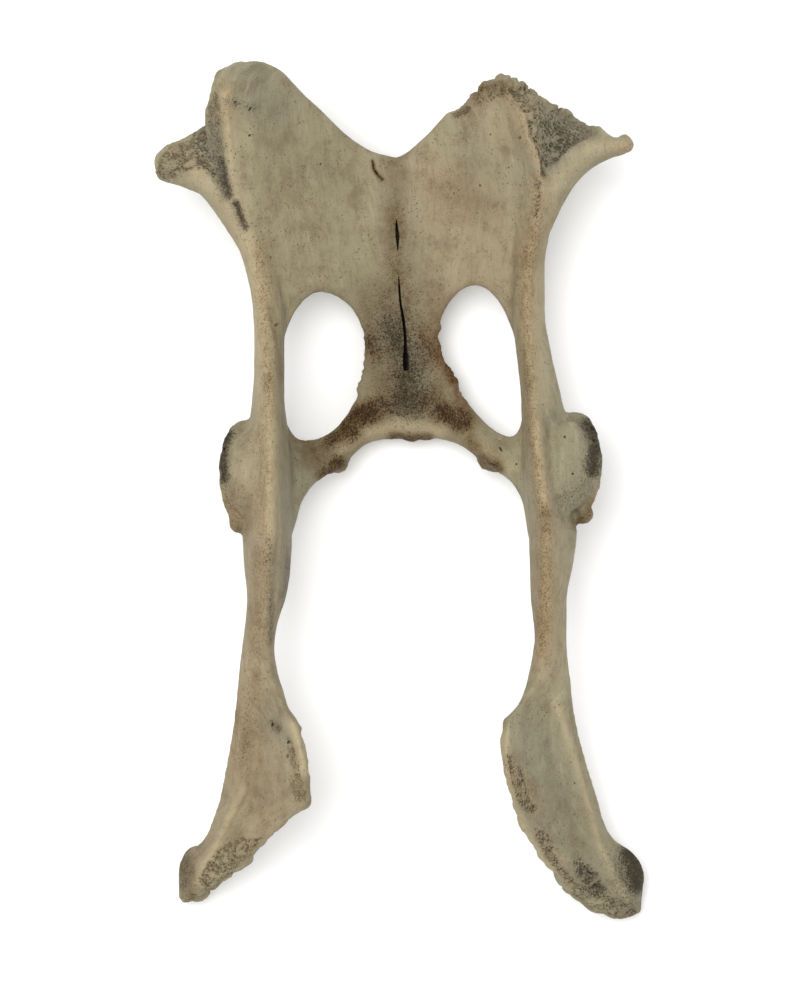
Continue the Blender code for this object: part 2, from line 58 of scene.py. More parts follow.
RIDGE_HEIGHT = [
    (80, 41), (Y_NOTCH, 37), (Y_BAR, 41), (Y_PUBIS, 50), (Y_SOCKET, 53), (Y_BEHIND_SOCKET, 52), (-30, 46),
    (Y_SHAFT, 42.5), (-58, 45.5), (Y_SACRAL, 54), (-84, 53.5), (Y_CREST, 46), (-110, 33), (-120, 21),
    (Y_TIP, 13),
]
OUTER_HEIGHT = [
    (80, 33), (Y_NOTCH, 28), (Y_PUBIS, 30), (Y_SHAFT, 33), (Y_SACRAL, 29), (Y_CREST, 19), (-112, 11),
    (Y_TIP, 6),
]
INNER_HEIGHT = [
    (80, 31), (Y_NOTCH, 27.5), (Y_PUBIS, 27), (Y_SOCKET, 26), (Y_BEHIND_SOCKET, 29), (Y_SHAFT, 35),
    (-58, 38.5), (Y_SACRAL, 49), (-84, 49.5), (Y_CREST, 42), (-110, 28), (-120, 14), (Y_TIP, 7),
]
UNDER_HEIGHT = [
    (80, 26), (Y_NOTCH, 20), (Y_BAR, 18), (Y_PUBIS, 13), (Y_SOCKET, 9), (Y_BEHIND_SOCKET, 14), (-30, 22),
    (Y_SHAFT, 25), (Y_SACRAL, 24.5), (Y_CREST, 14.5), (-112, 6), (Y_TIP, 0.5),
]
UNDER_SHARE = [(Y_TUBER, 0.5), (Y_SHAFT, 0.5), (Y_SACRAL, 0.2), (Y_TIP, 0.3)]
OUTER_FACE = [
    (Y_TUBER, 1.6), (Y_NOTCH, 1.3), (Y_SOCKET, 1.8), (Y_SHAFT, 1.2), (Y_SACRAL, 2.1), (Y_TIP, 1.5),
]
INNER_FACE = [(Y_TUBER, 1.4), (Y_NOTCH, 1.2), (Y_SOCKET, 1.3), (Y_SHAFT, 1.1), (Y_TIP, 1.0)]
UNDER_INNER_FACE = [(Y_TUBER, 1.2), (Y_SHAFT, 1.1), (Y_SACRAL, 1.8), (Y_TIP, 1.4)]

RIGHT = {
    "side": -1,
    "ridge_height": [(131, 52), (116, 51), (Y_HORN, 46.5)],
    "outer_height": [(131, 45), (Y_HORN, 39)],
    "inner_height": [(131, 42), (116, 42), (Y_HORN, 37.5)],
    "under_height": [(131, 40), (116, 37), (Y_HORN, 31)],
    "outer": [
        (130.6, 46), (129, 53), (127.8, 55.6), (124, 57.2), (120, 58), (116.8, 59.5), (112, 59.6),
        (104, 58), (92, 55), (80, 51.5), (68, 47), (55, 44.8), (43, 44.4), (28, 45.2), (18, 46.5),
        (3, 47.5), (-12, 48), (-21, 47.7), (-33, 46.6), (Y_SHAFT, 47.9), (-58, 49.4), (-70, 50.8),
        (-82, 52.9), (-94, 55.3), (-100, 57.2), (-104, 58.6), (-107, 60.4), (-110, 64), (-114, 67.6),
        (-118, 68), (-124, 67.7), (-126.6, 66.5),
    ],
    "ridge": [
        (130.6, 44), (126, 51), (116, 53.4), (104, 52.4), (92, 50.2), (80, 47), (68, 43.8), (55, 41.3),
        (43, 40.4), (3, 40), (-33, 40.4), (Y_SHAFT, 41.5), (-58, 39.4), (-70, 33), (-82, 30.2),
        (-94, 29.2), (-100, 35.5), (-107, 43), (-118, 55), (-124, 61.5), (-126.6, 64),
    ],
    "inner": [
        (130.6, 41.5), (129, 39.2), (126, 40), (116, 44), (92, 42), (68, 37), (55, 35), (43, 35.2),
        (28, 35.2),
        (18, 34), (3, 33), (-12, 33), (-21, 33.2), (-33, 34.9), (-41, 37.4), (-48, 38.3),
        (-55, 37.2), (-62.5, 34.9), (-66, 33.9), (-69.5, 31.2), (-74, 29.5), (-82, 28), (-91.8, 26.8),
        (-95.5, 26.9), (-99, 32.6), (-103, 36.8), (-107, 40.8), (-110, 43.5), (-114, 46),
        (-117.4, 51.4), (-121, 55.6), (-124.7, 64), (-126.6, 65.4),
    ],
}
LEFT = {
    "side": 1,
    "ridge_height": [(126, 41), (120, 43.5), (113, 46), (104, 46), (Y_HORN, 44.5)],
    "outer_height": [(126, 37), (116, 38), (Y_HORN, 37)],
    "inner_height": [(126, 33), (116, 34), (Y_HORN, 33.5)],
    "under_height": [(126, 30), (116, 30.5), (Y_HORN, 28.5)],
    "outer": [
        (125.4, 33.5), (123, 39), (120, 44), (117, 48.5), (112, 50), (98, 49.5), (88, 48.2), (80, 46),
        (68, 44.2), (55, 44.2), (43, 46), (28, 49.4), (18, 51.6), (3, 53), (-12, 54), (-21, 53),
        (-33, 50.9), (Y_SHAFT, 50.8), (-58, 52), (-70, 53.7), (-82, 56.8), (-94, 60.5), (-103, 63.3),
        (-107, 66), (-110, 70.6), (-114, 74), (-118, 75.2), (-122, 74.6), (-128.4, 74.2), (-130.8, 71),
    ],
    "ridge": [
        (125.4, 31), (120, 35), (113, 39), (104, 41), (92, 43), (80, 42), (68, 39.6), (55, 38.8),
        (43, 39.2), (28, 40), (3, 42), (-12, 44), (-33, 44.4), (Y_SHAFT, 45), (-58, 42),
        (-70, 33.2), (-82, 32.6), (-94, 35.6), (-106, 41.5), (-118, 50), (-124, 57), (-130.8, 67),
    ],
    "inner": [
        (125.4, 26), (116, 30), (92, 35.5), (68, 34.5), (55, 34.2), (43, 35.4), (28, 37), (18, 37.2),
        (3, 37.4), (-12, 39.2), (-21, 39.5), (-33, 39.9), (Y_SHAFT, 41), (-50, 40.3), (-55, 39.3),
        (-58.5, 38.5), (-62.5, 37), (-66.2, 34.9), (-70, 31.3), (-76, 30.6), (-81, 30.8), (-88, 32),
        (-95, 34.1), (-99, 35.3), (-103, 36.3), (-106.4, 39.5), (-110, 41.3), (-114, 44.3),
        (-117.4, 46.8), (-121, 48.8), (-124.7, 53), (-128.4, 58.2), (-130.8, 64),
    ],
}
LIMB_RINGS = 240


def through(points, at):
    """A smooth curve through (place, value) points, read at the places asked for, with no overshoot."""
    places, values = np.array(sorted(points), float).T
    steps = np.diff(places)
    slopes = np.diff(values) / steps
    tangents = np.zeros(len(places))
    inner = slopes[:-1] * slopes[1:] > 0
    tangents[1:-1][inner] = 2 / (1 / slopes[:-1][inner] + 1 / slopes[1:][inner])
    tangents[0], tangents[-1] = slopes[0], slopes[-1]
    at = np.clip(np.asarray(at, float), places[0], places[-1])
    i = np.clip(np.searchsorted(places, at) - 1, 0, len(steps) - 1)
    h = steps[i]
    t = (at - places[i]) / h
    return (
        values[i] * (1 + 2 * t) * (1 - t) ** 2
        + values[i + 1] * (3 - 2 * t) * t**2
        + h * t * (1 - t) * (tangents[i] * (1 - t) - tangents[i + 1] * t)
    )


def quarter_loop(corners, bends, steps):
    """A closed outline of four arcs through its outer, top, inner and lowest points."""
    points = []
    for i in range(4):
        (u0, v0), (u1, v1) = corners[i], corners[(i + 1) % 4]
        for k in range(steps):
            angle = math.pi / 2 * k / steps
            rise = math.sin(angle) ** bends[i]
            fall = 1 - math.cos(angle) ** bends[i]
            su, sv = (fall, rise) if i % 2 == 0 else (rise, fall)
            points.append((u0 + (u1 - u0) * su, v0 + (v1 - v0) * sv))
    return points


def make_object(name, bm):
    bmesh.ops.recalc_face_normals(bm, faces=bm.faces)
    mesh = bpy.data.meshes.new(name)
    bm.to_mesh(mesh)
    bm.free()
    obj = bpy.data.objects.new(name, mesh)
    bpy.context.scene.collection.objects.link(obj)
    return obj


def loft(name, rings):
    """A closed solid through rings of equally many points."""
    bm = bmesh.new()
    rows = [[bm.verts.new(Vector(p) * MM) for p in ring] for ring in rings]
    count = len(rows[0])
    for a, b in zip(rows, rows[1:]):
        for k in range(count):
            bm.faces.new((a[k], a[(k + 1) % count], b[(k + 1) % count], b[k]))
    bm.faces.new(rows[0])
    bm.faces.new(rows[-1])
    return make_object(name, bm)


def long_limb(form):
    side = form["side"]
    rings = []
    for y in np.linspace(form["outer"][0][0], form["outer"][-1][0], LIMB_RINGS):
        outer, ridge, inner = (through(form[key], y) for key in ("outer", "ridge", "inner"))
        under = outer + (inner - outer) * through(UNDER_SHARE, y)
        corners = [
            (outer, through(form["outer_height"] + OUTER_HEIGHT, y)),
            (ridge, through(form["ridge_height"] + RIDGE_HEIGHT, y)),
            (inner, through(form["inner_height"] + INNER_HEIGHT, y)),
            (under, through(form["under_height"] + UNDER_HEIGHT, y)),
        ]
        bends = [through(OUTER_FACE, y), through(INNER_FACE, y), through(UNDER_INNER_FACE, y), 1.1]
        rings.append([(side * u, y, v) for u, v in quarter_loop(corners, bends, 10)])
    return loft("limb", rings)


# The pelvic floor
# The ischial table and the pubis, a trough-shaped plate that joins the two long limbs at the symphysis, with
# the obturator foramen of each side through it.

FLOOR_MIDDLE = [(130, 20), (Y_ARCH, 17.5), (70, 12), (Y_BAR, 7.5), (20, 5.0), (-15, 5.0)]
FLOOR_SIDE = [
    (130, 44), (116, 42.5), (Y_HORN, 38.5), (80, 34), (Y_NOTCH, 29), (Y_BAR, 25.5), (Y_PUBIS, 23.5),
    (-15, 27),
]
FLOOR_BEND = 1.45
FLOOR_WIDTH = 40.0
FLOOR_FREE = 34.0
FLOOR_END = 50.0
FLOOR_THICK = 2.3
SYMPHYSIS_THICK = 2.6
SYMPHYSIS_WIDTH = 9.0
RAMUS_THICK = 2.6
RAMUS_WIDTH = 9.0
RAMUS_FROM_EDGE = 7.0
KEEL_DEPTH = 1.6
KEEL_WIDTH = 4.0
EDGE_RADIUS = 3.0
OVERLAP = 6.0
FORAMEN_RIM = 2.4
FORAMEN_FLARE = 0.9

RIGHT.update(
    tail_edge=[
        (0, 102), (1.6, 102.4), (7, 103.9), (11.1, 106.1), (15.9, 109.8), (19.5, 113.5), (23.1, 117.1),
        (27, 120.8), (30.6, 124.6), (33.6, 127.8), (38, 129.8), (50, 130.4),
    ],
    head_edge=[
        (0, 15), (5, 16), (10.5, 15.2), (13.1, 14.2), (17.5, 10.7), (20.7, 7.4), (28.2, 3.2),
        (31.7, -0.5), (34, -4.3), (36.4, -8.4), (39, -12.4), (47, -24),
    ],
    floor_limit=[(130, 49.5), (95, 48), (78, 43.5), (66, 40), (-20, 38)],
    foramen=((-36.6, 37), (-24.5, 60.6), (-11, 45), (-29.2, 15.6)),
    foramen_bends=(1.1, 1.05, 0.95, 0.9),
)
LEFT.update(
    tail_edge=[
        (0, 102), (3, 103.4), (6.3, 106.1), (10.6, 109.9), (14, 113.5), (18.4, 116.9), (24, 120.4),
        (26.2, 124), (29, 125.2), (33.5, 124.2), (42, 120), (50, 115),
    ],
    head_edge=[
        (0, 15), (5, 16.2), (10.5, 15.7), (15.3, 14.2), (20.3, 10.7), (23.5, 7.8), (30.4, 3.2),
        (32.7, -0.4), (34.3, -4), (36.5, -8.6), (38.5, -13), (47, -24),
    ],
    floor_limit=[(130, 44), (95, 42), (66, 39.5), (40, 40.5), (-20, 42)],
    foramen=((37.4, 27), (22.8, 62.8), (12.2, 49), (33.6, 16.8)),
    foramen_bends=(1.02, 1.15, 1.3, 0.8),
)


def midline(y):
    """Where the symphysis lies across the bone."""
    share = (Y_ARCH - y) / (Y_ARCH - Y_PUBIS)
    return MIDLINE_AT_ARCH + (MIDLINE_AT_PUBIS - MIDLINE_AT_ARCH) * share


def floor_height(out, y):
    """Middle height of the pelvic floor, a trough that climbs from the symphysis to the limbs."""
    middle, side = through(FLOOR_MIDDLE, y), through(FLOOR_SIDE, y)
    return middle + (side - middle) * (min(abs(out) / FLOOR_WIDTH, 1.1)) ** FLOOR_BEND


def pelvic_floor(form):
    side = form["side"]
    rings = []
    for out in np.linspace(-OVERLAP, FLOOR_END, 70):
        tail, head = through(form["tail_edge"], out), through(form["head_edge"], out)
        upper, lower = [], []
        for v in np.sin(np.linspace(-math.pi / 2, math.pi / 2, 71)):
            y = (tail + head) / 2 + v * (head - tail) / 2
            to_edge = max(0.0, (1 - abs(v)) * (tail - head) / 2)
            edge = math.sqrt(1 - (1 - min(to_edge / EDGE_RADIUS, 1)) ** 2)
            ramus = RAMUS_THICK * math.exp(-(((y - head - RAMUS_FROM_EDGE) / RAMUS_WIDTH) ** 2))
            symphysis = SYMPHYSIS_THICK * math.exp(-((out / SYMPHYSIS_WIDTH) ** 2))
            thick = (FLOOR_THICK + symphysis + ramus) * edge
            keel = KEEL_DEPTH * math.exp(-((out / KEEL_WIDTH) ** 2)) * edge
            limit = through(form["floor_limit"], y) - side * midline(y)
            squeeze = (limit - FLOOR_FREE) / (FLOOR_END - FLOOR_FREE)
            across = min(out, FLOOR_FREE) + max(out - FLOOR_FREE, 0) * squeeze
            z = floor_height(across, y)
            upper.append((midline(y) + side * across, y, z + thick + 0.01))
            lower.append((midline(y) + side * across, y, z - thick - keel - 0.01))
        rings.append(upper + lower[::-1])
    return loft("floor", rings)


def foramen_cutter(form):
    """The hole between ischium and pubis, flared above and below so that its rim comes out round."""
    outline = quarter_loop(form["foramen"], form["foramen_bends"], 20)
    centre = np.mean(outline, axis=0)
    rim = FORAMEN_RIM
    rings = []
    for h in (-16, -9, -5, -rim, -2, -1, 0, 1, 2, rim, 5, 9, 16):
        flare = rim - math.sqrt(max(rim**2 - h**2, 0)) + max(abs(h) - rim, 0) * FORAMEN_FLARE
        ring = []
        for x, y in outline:
            direction = np.array([x, y]) - centre
            direction /= np.linalg.norm(direction)
            rim_z = floor_height(abs(x - midline(y)), y)
            ring.append((x + direction[0] * flare, y + direction[1] * flare, rim_z + h))
        rings.append(ring)
    return loft("foramen", rings)


def bake(obj):
    """Replaces the mesh by what its modifiers make of it."""
    graph = bpy.context.evaluated_depsgraph_get()
    graph.update()
    mesh = bpy.data.meshes.new_from_object(obj.evaluated_get(graph), depsgraph=graph)
    obj.modifiers.clear()
    obj.data = mesh
    return obj


def cut_away(obj, cutters):
    """Takes closed meshes away from a solid, and removes them."""
    collection = bpy.data.collections.new("cutters")
    bpy.context.scene.collection.children.link(collection)
    for cutter in cutters:
        bpy.context.scene.collection.objects.unlink(cutter)
        collection.objects.link(cutter)
    modifier = obj.modifiers.new("cut", "BOOLEAN")
    modifier.operation = "DIFFERENCE"
    modifier.operand_type = "COLLECTION"
    modifier.collection = collection
    modifier.solver = "EXACT"
    bake(obj)
    for cutter in cutters:
        bpy.data.objects.remove(cutter)
    bpy.data.collections.remove(collection)
    return obj


# The horn of the tuber
# The outer process of the ischial tuber, a roof-shaped horn that points outwards, which tendons pulled on.

HORN_TOP = [(42, 35), (46, 40.5), (50, 44), (60, 41), (70, 37.5), (75, 36.5)]
HORN_UNDER = [(42, 31), (50, 30), (60, 29.5), (70, 29.5), (75, 30.5)]
HORN_ROOF = 0.45
HORN_KEEL = 0.5
RIGHT["horn"] = {
    "reach": [44, 50, 55, 59, 61, 63.6, 67.3, 70.6, 73.4, 74.8],
    "tail": [104, 107, 111.8, 112, 110.9, 109.4, 107.3, 105.8, 103.8, 102],
    "head": [66, 75.2, 82.6, 88, 90.2, 91.3, 92.8, 93.6, 94.6, 96.4],
}
LEFT["horn"] = {
    "reach": [42, 46, 50, 54, 58.7, 62.7, 66, 69, 71],
    "tail": [116, 117.6, 117, 113.6, 111.3, 109.5, 107.8, 109.1, 107.0],
    "head": [72, 79, 87.5, 93.8, 98.2, 100.4, 101.7, 102.5, 103.6],
}


def tuber_horn(form):
    side, horn = form["side"], form["horn"]
    rings = []
    for reach in np.linspace(horn["reach"][0], horn["reach"][-1], 40):
        y_tail = through(list(zip(horn["reach"], horn["tail"])), reach)
        y_head = through(list(zip(horn["reach"], horn["head"])), reach)
        top, under = through(HORN_TOP, reach), through(HORN_UNDER, reach)
        middle = (top + under) / 2
        corners = [
            (y_tail, middle - 2),
            (y_head + (y_tail - y_head) * HORN_ROOF, top),
            (y_head, middle - 1),
            (y_head + (y_tail - y_head) * HORN_KEEL, under),
        ]
        loop = quarter_loop(corners, (1.5, 1.4, 1.1, 1.1), 10)
        rings.append([(side * reach, v, z) for v, z in loop])
    return loft("horn", rings)


# The hip socket
# A round cup for the head of the thigh bone, in a bowl that stands out from the limb. The cutter for the notch
# of its rim comes out inside out, and no notch can be measured in the finished bone.

SOCKET_RADIUS = 14.2
SOCKET_LIP = 2.0
SOCKET_DEPTH = 11.4
SOCKET_TILT = math.radians(25)
SOCKET_HEIGHT = 25.0
BOWL = ((-14, 0.5), (-11, 0.72), (-7, 0.88), (-3, 0.97), (-0.5, 1.0), (0.6, 0.95))
NOTCH_SIZE = (8.0, 22.0, 7.0)
NOTCH_OUT = 10.0
NOTCH_LIFT = 2.2
RIGHT["socket"] = (48.4, 5.6)
LEFT["socket"] = (54.7, 8.2)


def socket_place(form):
    """The middle of the socket's mouth, the way it faces, and the upward direction across its mouth."""
    reach, y = form["socket"]
    axis = Vector((form["side"] * math.cos(SOCKET_TILT), 0, -math.sin(SOCKET_TILT)))
    up = Vector((0, 1, 0)).cross(axis).normalized()
    return Vector((form["side"] * reach, y, SOCKET_HEIGHT)), axis, up if up.z > 0 else -up


def socket_bowl(form):
    centre, axis, up = socket_place(form)
    lip = SOCKET_RADIUS + SOCKET_LIP
    rings = []
    for along, share in BOWL:
        ring = []
        for k in range(80):
            angle = 2 * math.pi * k / 80
            spoke = Vector((0, 1, 0)) * math.cos(angle) + up * math.sin(angle)
            ring.append(centre + axis * along + spoke * lip * share)
        rings.append(ring)
    return loft("bowl", rings)


def ellipsoid(centre, radii, turn=None):
    bm = bmesh.new()
    turn = turn or Matrix.Identity(4)
    size = Matrix.Diagonal((*[r * MM for r in radii], 1))
    place = Matrix.Translation(Vector(centre) * MM)
    bmesh.ops.create_icosphere(bm, subdivisions=3, radius=1, matrix=place @ turn @ size)
    return make_object("ellipsoid", bm)


def socket_cutters(form):
    centre, axis, up = socket_place(form)
    cup = ellipsoid(centre + axis * (SOCKET_RADIUS - SOCKET_DEPTH), (SOCKET_RADIUS,) * 3)
    way = (Vector((0, 0.6, 0)) - up * 0.8).normalized()
    bm = bmesh.new()
    bmesh.ops.create_cube(bm, size=1)
    bmesh.ops.bevel(bm, geom=bm.edges, offset=0.3, segments=4, affect="EDGES")
    size = Matrix.Diagonal((*[length * MM for length in NOTCH_SIZE], 1))
    turn = Matrix((axis.cross(way).normalized(), way, axis)).transposed().to_4x4()
    place = Matrix.Translation((centre + way * NOTCH_OUT - axis * (SOCKET_DEPTH - NOTCH_LIFT)) * MM)
    bm.transform(place @ turn @ size)
    return [cup, make_object("notch", bm)]


# Small swellings
# The tubercle in front of the socket, the socket's roof below the ridge, the eminence of the pubis, the end
# of the iliac crest, and the low gluteal ridge along the outer side of the iliac wing.

TUBERCLE = (34, (2.6, 3.4, 4))
ROOF = (39, (8, 14, 7))
EMINENCE = (10.5, (4.6, 2.8, 4))
TIP_OF_CREST = (6.6, (5.2, 9, 7.6))
GLUTEAL_RADIUS = 2.2
GLUTEAL_SWELL = 1.2
GLUTEAL_SUNK = 1.2
RIGHT.update(
    tubercle=(49.6, -9.5), roof=(44.8, 5.0), eminence=(20.6, 8.2), tip=(62.6, -117.6),
    gluteal=[(-50, 45), (-70, 46), (-88, 48), (-103, 52.5), (-117, 60)],
)
LEFT.update(
    tubercle=(56.2, -7.0), roof=(51.0, 7.5), eminence=(28.5, 8.4), tip=(69.4, -120.8),
    gluteal=[(-50, 47.5), (-76, 49.5), (-90, 53), (-103, 57.5), (-117, 65)],
)


def swellings(form):
    made = []
    for place, (height, radii) in (
        ("tubercle", TUBERCLE), ("roof", ROOF), ("eminence", EMINENCE), ("tip", TIP_OF_CREST),
    ):
        reach, y = form[place]
        made.append(ellipsoid((form["side"] * reach, y, height), radii))
    return made


def gluteal_ridge(form):
    rings = []
    first, last = form["gluteal"][0][0], form["gluteal"][-1][0]
    for y in np.linspace(first, last, 60):
        reach = through(form["gluteal"], y)
        outer, ridge = through(form["outer"], y), through(form["ridge"], y)
        low, high = through(OUTER_HEIGHT, y), through(RIDGE_HEIGHT, y)
        z = low + (high - low) * (0.1 + 0.9 * (outer - reach) / (outer - ridge)) - GLUTEAL_SUNK
        radius = GLUTEAL_RADIUS + GLUTEAL_SWELL * math.sin(math.pi * (y - first) / (last - first))
        ring = []
        for k in range(16):
            angle = 2 * math.pi * k / 16
            out = reach + radius * math.cos(angle)
            ring.append((form["side"] * out, y, z + radius * math.sin(angle)))
        rings.append(ring)
    return loft("gluteal", rings)


# Growing the limbs together
# The limbs of one side overlap, and a fine voxel remesh fuses them into one bone with rounded joints.

VOXEL = 0.74
SMOOTHING = 5


def remesh(obj, smoothing):
    modifier = obj.modifiers.new("remesh", "REMESH")
    modifier.mode = "VOXEL"
    modifier.voxel_size = VOXEL * MM
    smooth = obj.modifiers.new("smooth", "SMOOTH")
    smooth.factor = 0.5
    smooth.iterations = smoothing
    return bake(obj)


def join(objects):
    bm = bmesh.new()
    for obj in objects:
        bm.from_mesh(obj.data)
        bpy.data.objects.remove(obj)
    return make_object("bone", bm)


def hip_bone(form):
    plate = cut_away(pelvic_floor(form), [foramen_cutter(form)])
    limbs = [plate, long_limb(form), tuber_horn(form), socket_bowl(form)]
    limbs += [gluteal_ridge(form), *swellings(form)]
    bone = remesh(join(limbs), 2)
    cut_away(bone, socket_cutters(form))
    return remesh(bone, SMOOTHING)


# The weathered surface
# What age and the ground did to the bone: broken spongy ends, pores, cracks and stains. Painted highlights lie
# on the ridges, and painted shade in the sockets, slits, cracks and pores. Each mark is placed by its pixel in
# the photograph, and is carved or painted on whatever bone lies under that pixel.

PIXEL_MM = 0.305
ORIGIN_PIXEL = (400, 491)


def on_bone(pixels):
    """Places in the photograph, as X and Y on the bone in millimetres."""
    return (np.array(pixels, float) - ORIGIN_PIXEL) * (PIXEL_MM, -PIXEL_MM)


def ease(value, start, end):
    """0 at the start and 1 at the end, with a soft rise between them."""
    t = np.clip((value - start) / (end - start), 0, 1)
    return t * t * (3 - 2 * t)


def from_line(flat, pixels):
    """Each point's distance from a line in the photograph, and the side of it that the point is on."""
    line = on_bone(pixels)
    distance, side = np.full(len(flat), 1e9), np.zeros(len(flat))
    for a, b in zip(line, line[1:]):
        along = b - a
        t = np.clip(((flat - a) @ along) / (along @ along), 0, 1)
        gap = flat - a - t[:, None] * along
        length = np.hypot(gap[:, 0], gap[:, 1])
        closer = length < distance
        distance[closer] = length[closer]
        side[closer] = np.sign(along[0] * gap[:, 1] - along[1] * gap[:, 0])[closer]
    return distance, side


def within(flat, pixels):
    """Each point's distance inside an outline in the photograph, negative outside it."""
    outline = on_bone(pixels)
    distance = from_line(flat, [*pixels, pixels[0]])[0]
    crossings = np.zeros(len(flat), int)
    for (x0, y0), (x1, y1) in zip(outline, np.roll(outline, -1, axis=0)):
        straddles = (y0 > flat[:, 1]) != (y1 > flat[:, 1])
        crossings += straddles & (flat[:, 0] < x0 + (flat[:, 1] - y0) * (x1 - x0) / (y1 - y0 + 1e-12))
    return np.where(crossings % 2, distance, -distance)


def waves(points, size, seed):
    """Smooth random values about 0, with features of the given size."""
    shift = Vector((seed * 7.3, seed * 3.1, seed * 11.7))
    return np.array([noise.noise(Vector(p) / size + shift) for p in points])


def cells(points, size, seed):
    """The distances to the nearest and the next nearest of points strewn at random, in cell sizes."""
    shift = Vector((seed * 5.1, seed * 9.7, seed * 2.3))
    found = [noise.voronoi(Vector(p) / size + shift)[0] for p in points]
    return np.array([pair[:2] for pair in found]).T


# Broken ends, where the dense skin is gone and the spongy inside shows: the outline, how far it is sunk, the
# size and depth of its pores, and the way and amount that they are drawn out.
SPONGY = [
    (
        [
            (214, 93), (206, 112), (203, 128), (193, 130), (190, 140), (170, 146), (158, 160), (155, 178),
            (170, 182), (186, 172), (206, 170), (214, 184), (227, 194), (226, 172), (223, 150), (220, 135),
            (221, 115), (219, 98),
        ],
        0.3, 0.9, 0.7, 0, 1.0,
    ),
    ([(234, 200), (238, 198), (245, 215), (247, 231), (243, 226)],
     0.2, 1.0, 0.4, 70, 1.6),
    (
        [
            (508, 90), (513, 102), (525, 116), (527, 127), (528, 136), (534, 144), (539, 155), (541, 167),
            (542, 178), (547, 178), (552, 167), (559, 157), (567, 150), (583, 140), (600, 132), (584, 121),
            (566, 113), (556, 106), (542, 100), (539, 93), (528, 87), (517, 87),
        ],
        1.3, 0.9, 0.9, -35, 1.6,
    ),
    ([(534, 183), (541, 184), (539, 205), (536, 224), (533, 222), (535, 200)],
     0.2, 0.9, 0.6, 80, 1.5),
    ([(476, 96), (484, 84), (507, 88), (508, 96), (497, 98), (486, 104), (474, 108)],
     0.3, 1.1, 0.6, 0, 1.2),
    ([(449, 111), (458, 108), (470, 108), (466, 116), (456, 119)],
     0.7, 0.9, 0.6, 0, 1.2),
    ([(196, 882), (206, 866), (216, 852), (228, 843), (244, 838), (262, 838), (252, 854),
                 (238, 868),
                 (224, 882), (211, 895), (200, 891)],
     0.3, 1.15, 1.0, 50, 1.1),
    ([(180, 899), (190, 897), (196, 896), (190, 905), (185, 907)],
     0.3, 1.1, 0.9, 0, 1.0),
    ([(287, 734), (292, 740), (297, 755), (300, 770), (292, 768), (287, 755)],
     0.2, 1.0, 0.8, 80, 1.5),
    ([(292, 774), (300, 772), (307, 790), (306, 802), (294, 800), (288, 790)],
     0.1, 1.0, 0.6, 0, 1.0),
    ([(506, 752), (515, 757), (523, 768), (526, 785), (531, 800), (538, 806), (534, 812),
                 (525, 812), (517, 798), (512, 780)],
     0.2, 1.2, 0.7, -60, 1.4),
    ([(534, 827), (546, 832), (555, 842), (553, 853), (563, 868), (578, 883), (570, 886),
                 (555, 870), (545, 856), (538, 842)],
     0.2, 1.1, 0.7, -50, 1.6),
    ([(574, 862), (583, 858), (590, 868), (601, 876), (604, 892), (592, 890), (578, 880)],
     0.2, 1.1, 0.9, -60, 1.5),
    ([(574, 884), (590, 889), (606, 888), (622, 904), (640, 915), (632, 925), (608, 920),
                 (588, 910), (572, 896)],
     0.2, 1.0, 0.7, -30, 1.1),
]


def spongy_share(flat, outline):
    """1 well inside a broken patch and 0 outside it."""
    return ease(within(flat, outline), -0.5, 0.5)


def pores(points, size, turn, stretch, seed):
    """How deep the spongy bone is open at each point, from 0 on a wall to 1 in a pore."""
    turn = math.radians(turn)
    along = points[:, 0] * math.cos(turn) + points[:, 1] * math.sin(turn)
    across = points[:, 1] * math.cos(turn) - points[:, 0] * math.sin(turn)
    drawn = np.column_stack([along / stretch, across, points[:, 2]])
    nearest, next_nearest = cells(drawn, size, seed)
    open_share = ease(next_nearest - nearest, 0.05, 0.36)
    return open_share * ease(waves(points, 2.6, seed + 3), -0.6, 0.0)


# Ridges that stand up and grooves that sink in: the line, its height, and its width on either side.
RELIEF = [
    ([(225, 94), (230, 136), (233, 177), (244, 231), (252, 262), (263, 300), (273, 345), (277, 400),
              (277, 450), (276, 500), (273, 540), (271, 580), (266, 620)],
     0.9, (0.9, 3.4)),
    ([(513, 102), (526, 117), (528, 136), (539, 155), (542, 178), (538, 200), (533, 235), (528, 270),
              (529, 310), (533, 360), (538, 420), (541, 460), (545, 500), (549, 540)],
     0.5, (1.6, 1.3)),
    ([(553, 700), (570, 742), (584, 788), (593, 817), (601, 847), (615, 876), (629, 905)],
     0.6, (1.8, 1.4)),
    ([(245, 790), (226, 826), (211, 856), (197, 883), (183, 899)],
     0.8, (1.3, 2.0)),
    ([(372.6, 160), (375.6, 170), (382.5, 178.7)], -0.7, (0.3, 0.3)),
    ([(397, 162), (398, 190), (396, 214)], -0.25, (0.6, 0.6)),
    ([(213, 87), (222, 88), (237, 86)], -0.4, (0.4, 0.8)),
    ([(252, 690), (250, 730), (243, 766)], -0.4, (1.0, 1.0)),
    ([(222, 66), (236, 88), (238, 120), (236, 150)], -0.5, (2.5, 2.5)),
    ([(265, 400), (266, 446), (267, 470), (262, 498), (263, 540)],
     -0.35, (0.8, 0.8)),
    ([(531, 420), (534, 455), (537, 475), (539, 498), (545, 521), (544, 535)],
     -0.35, (0.8, 0.8)),
]

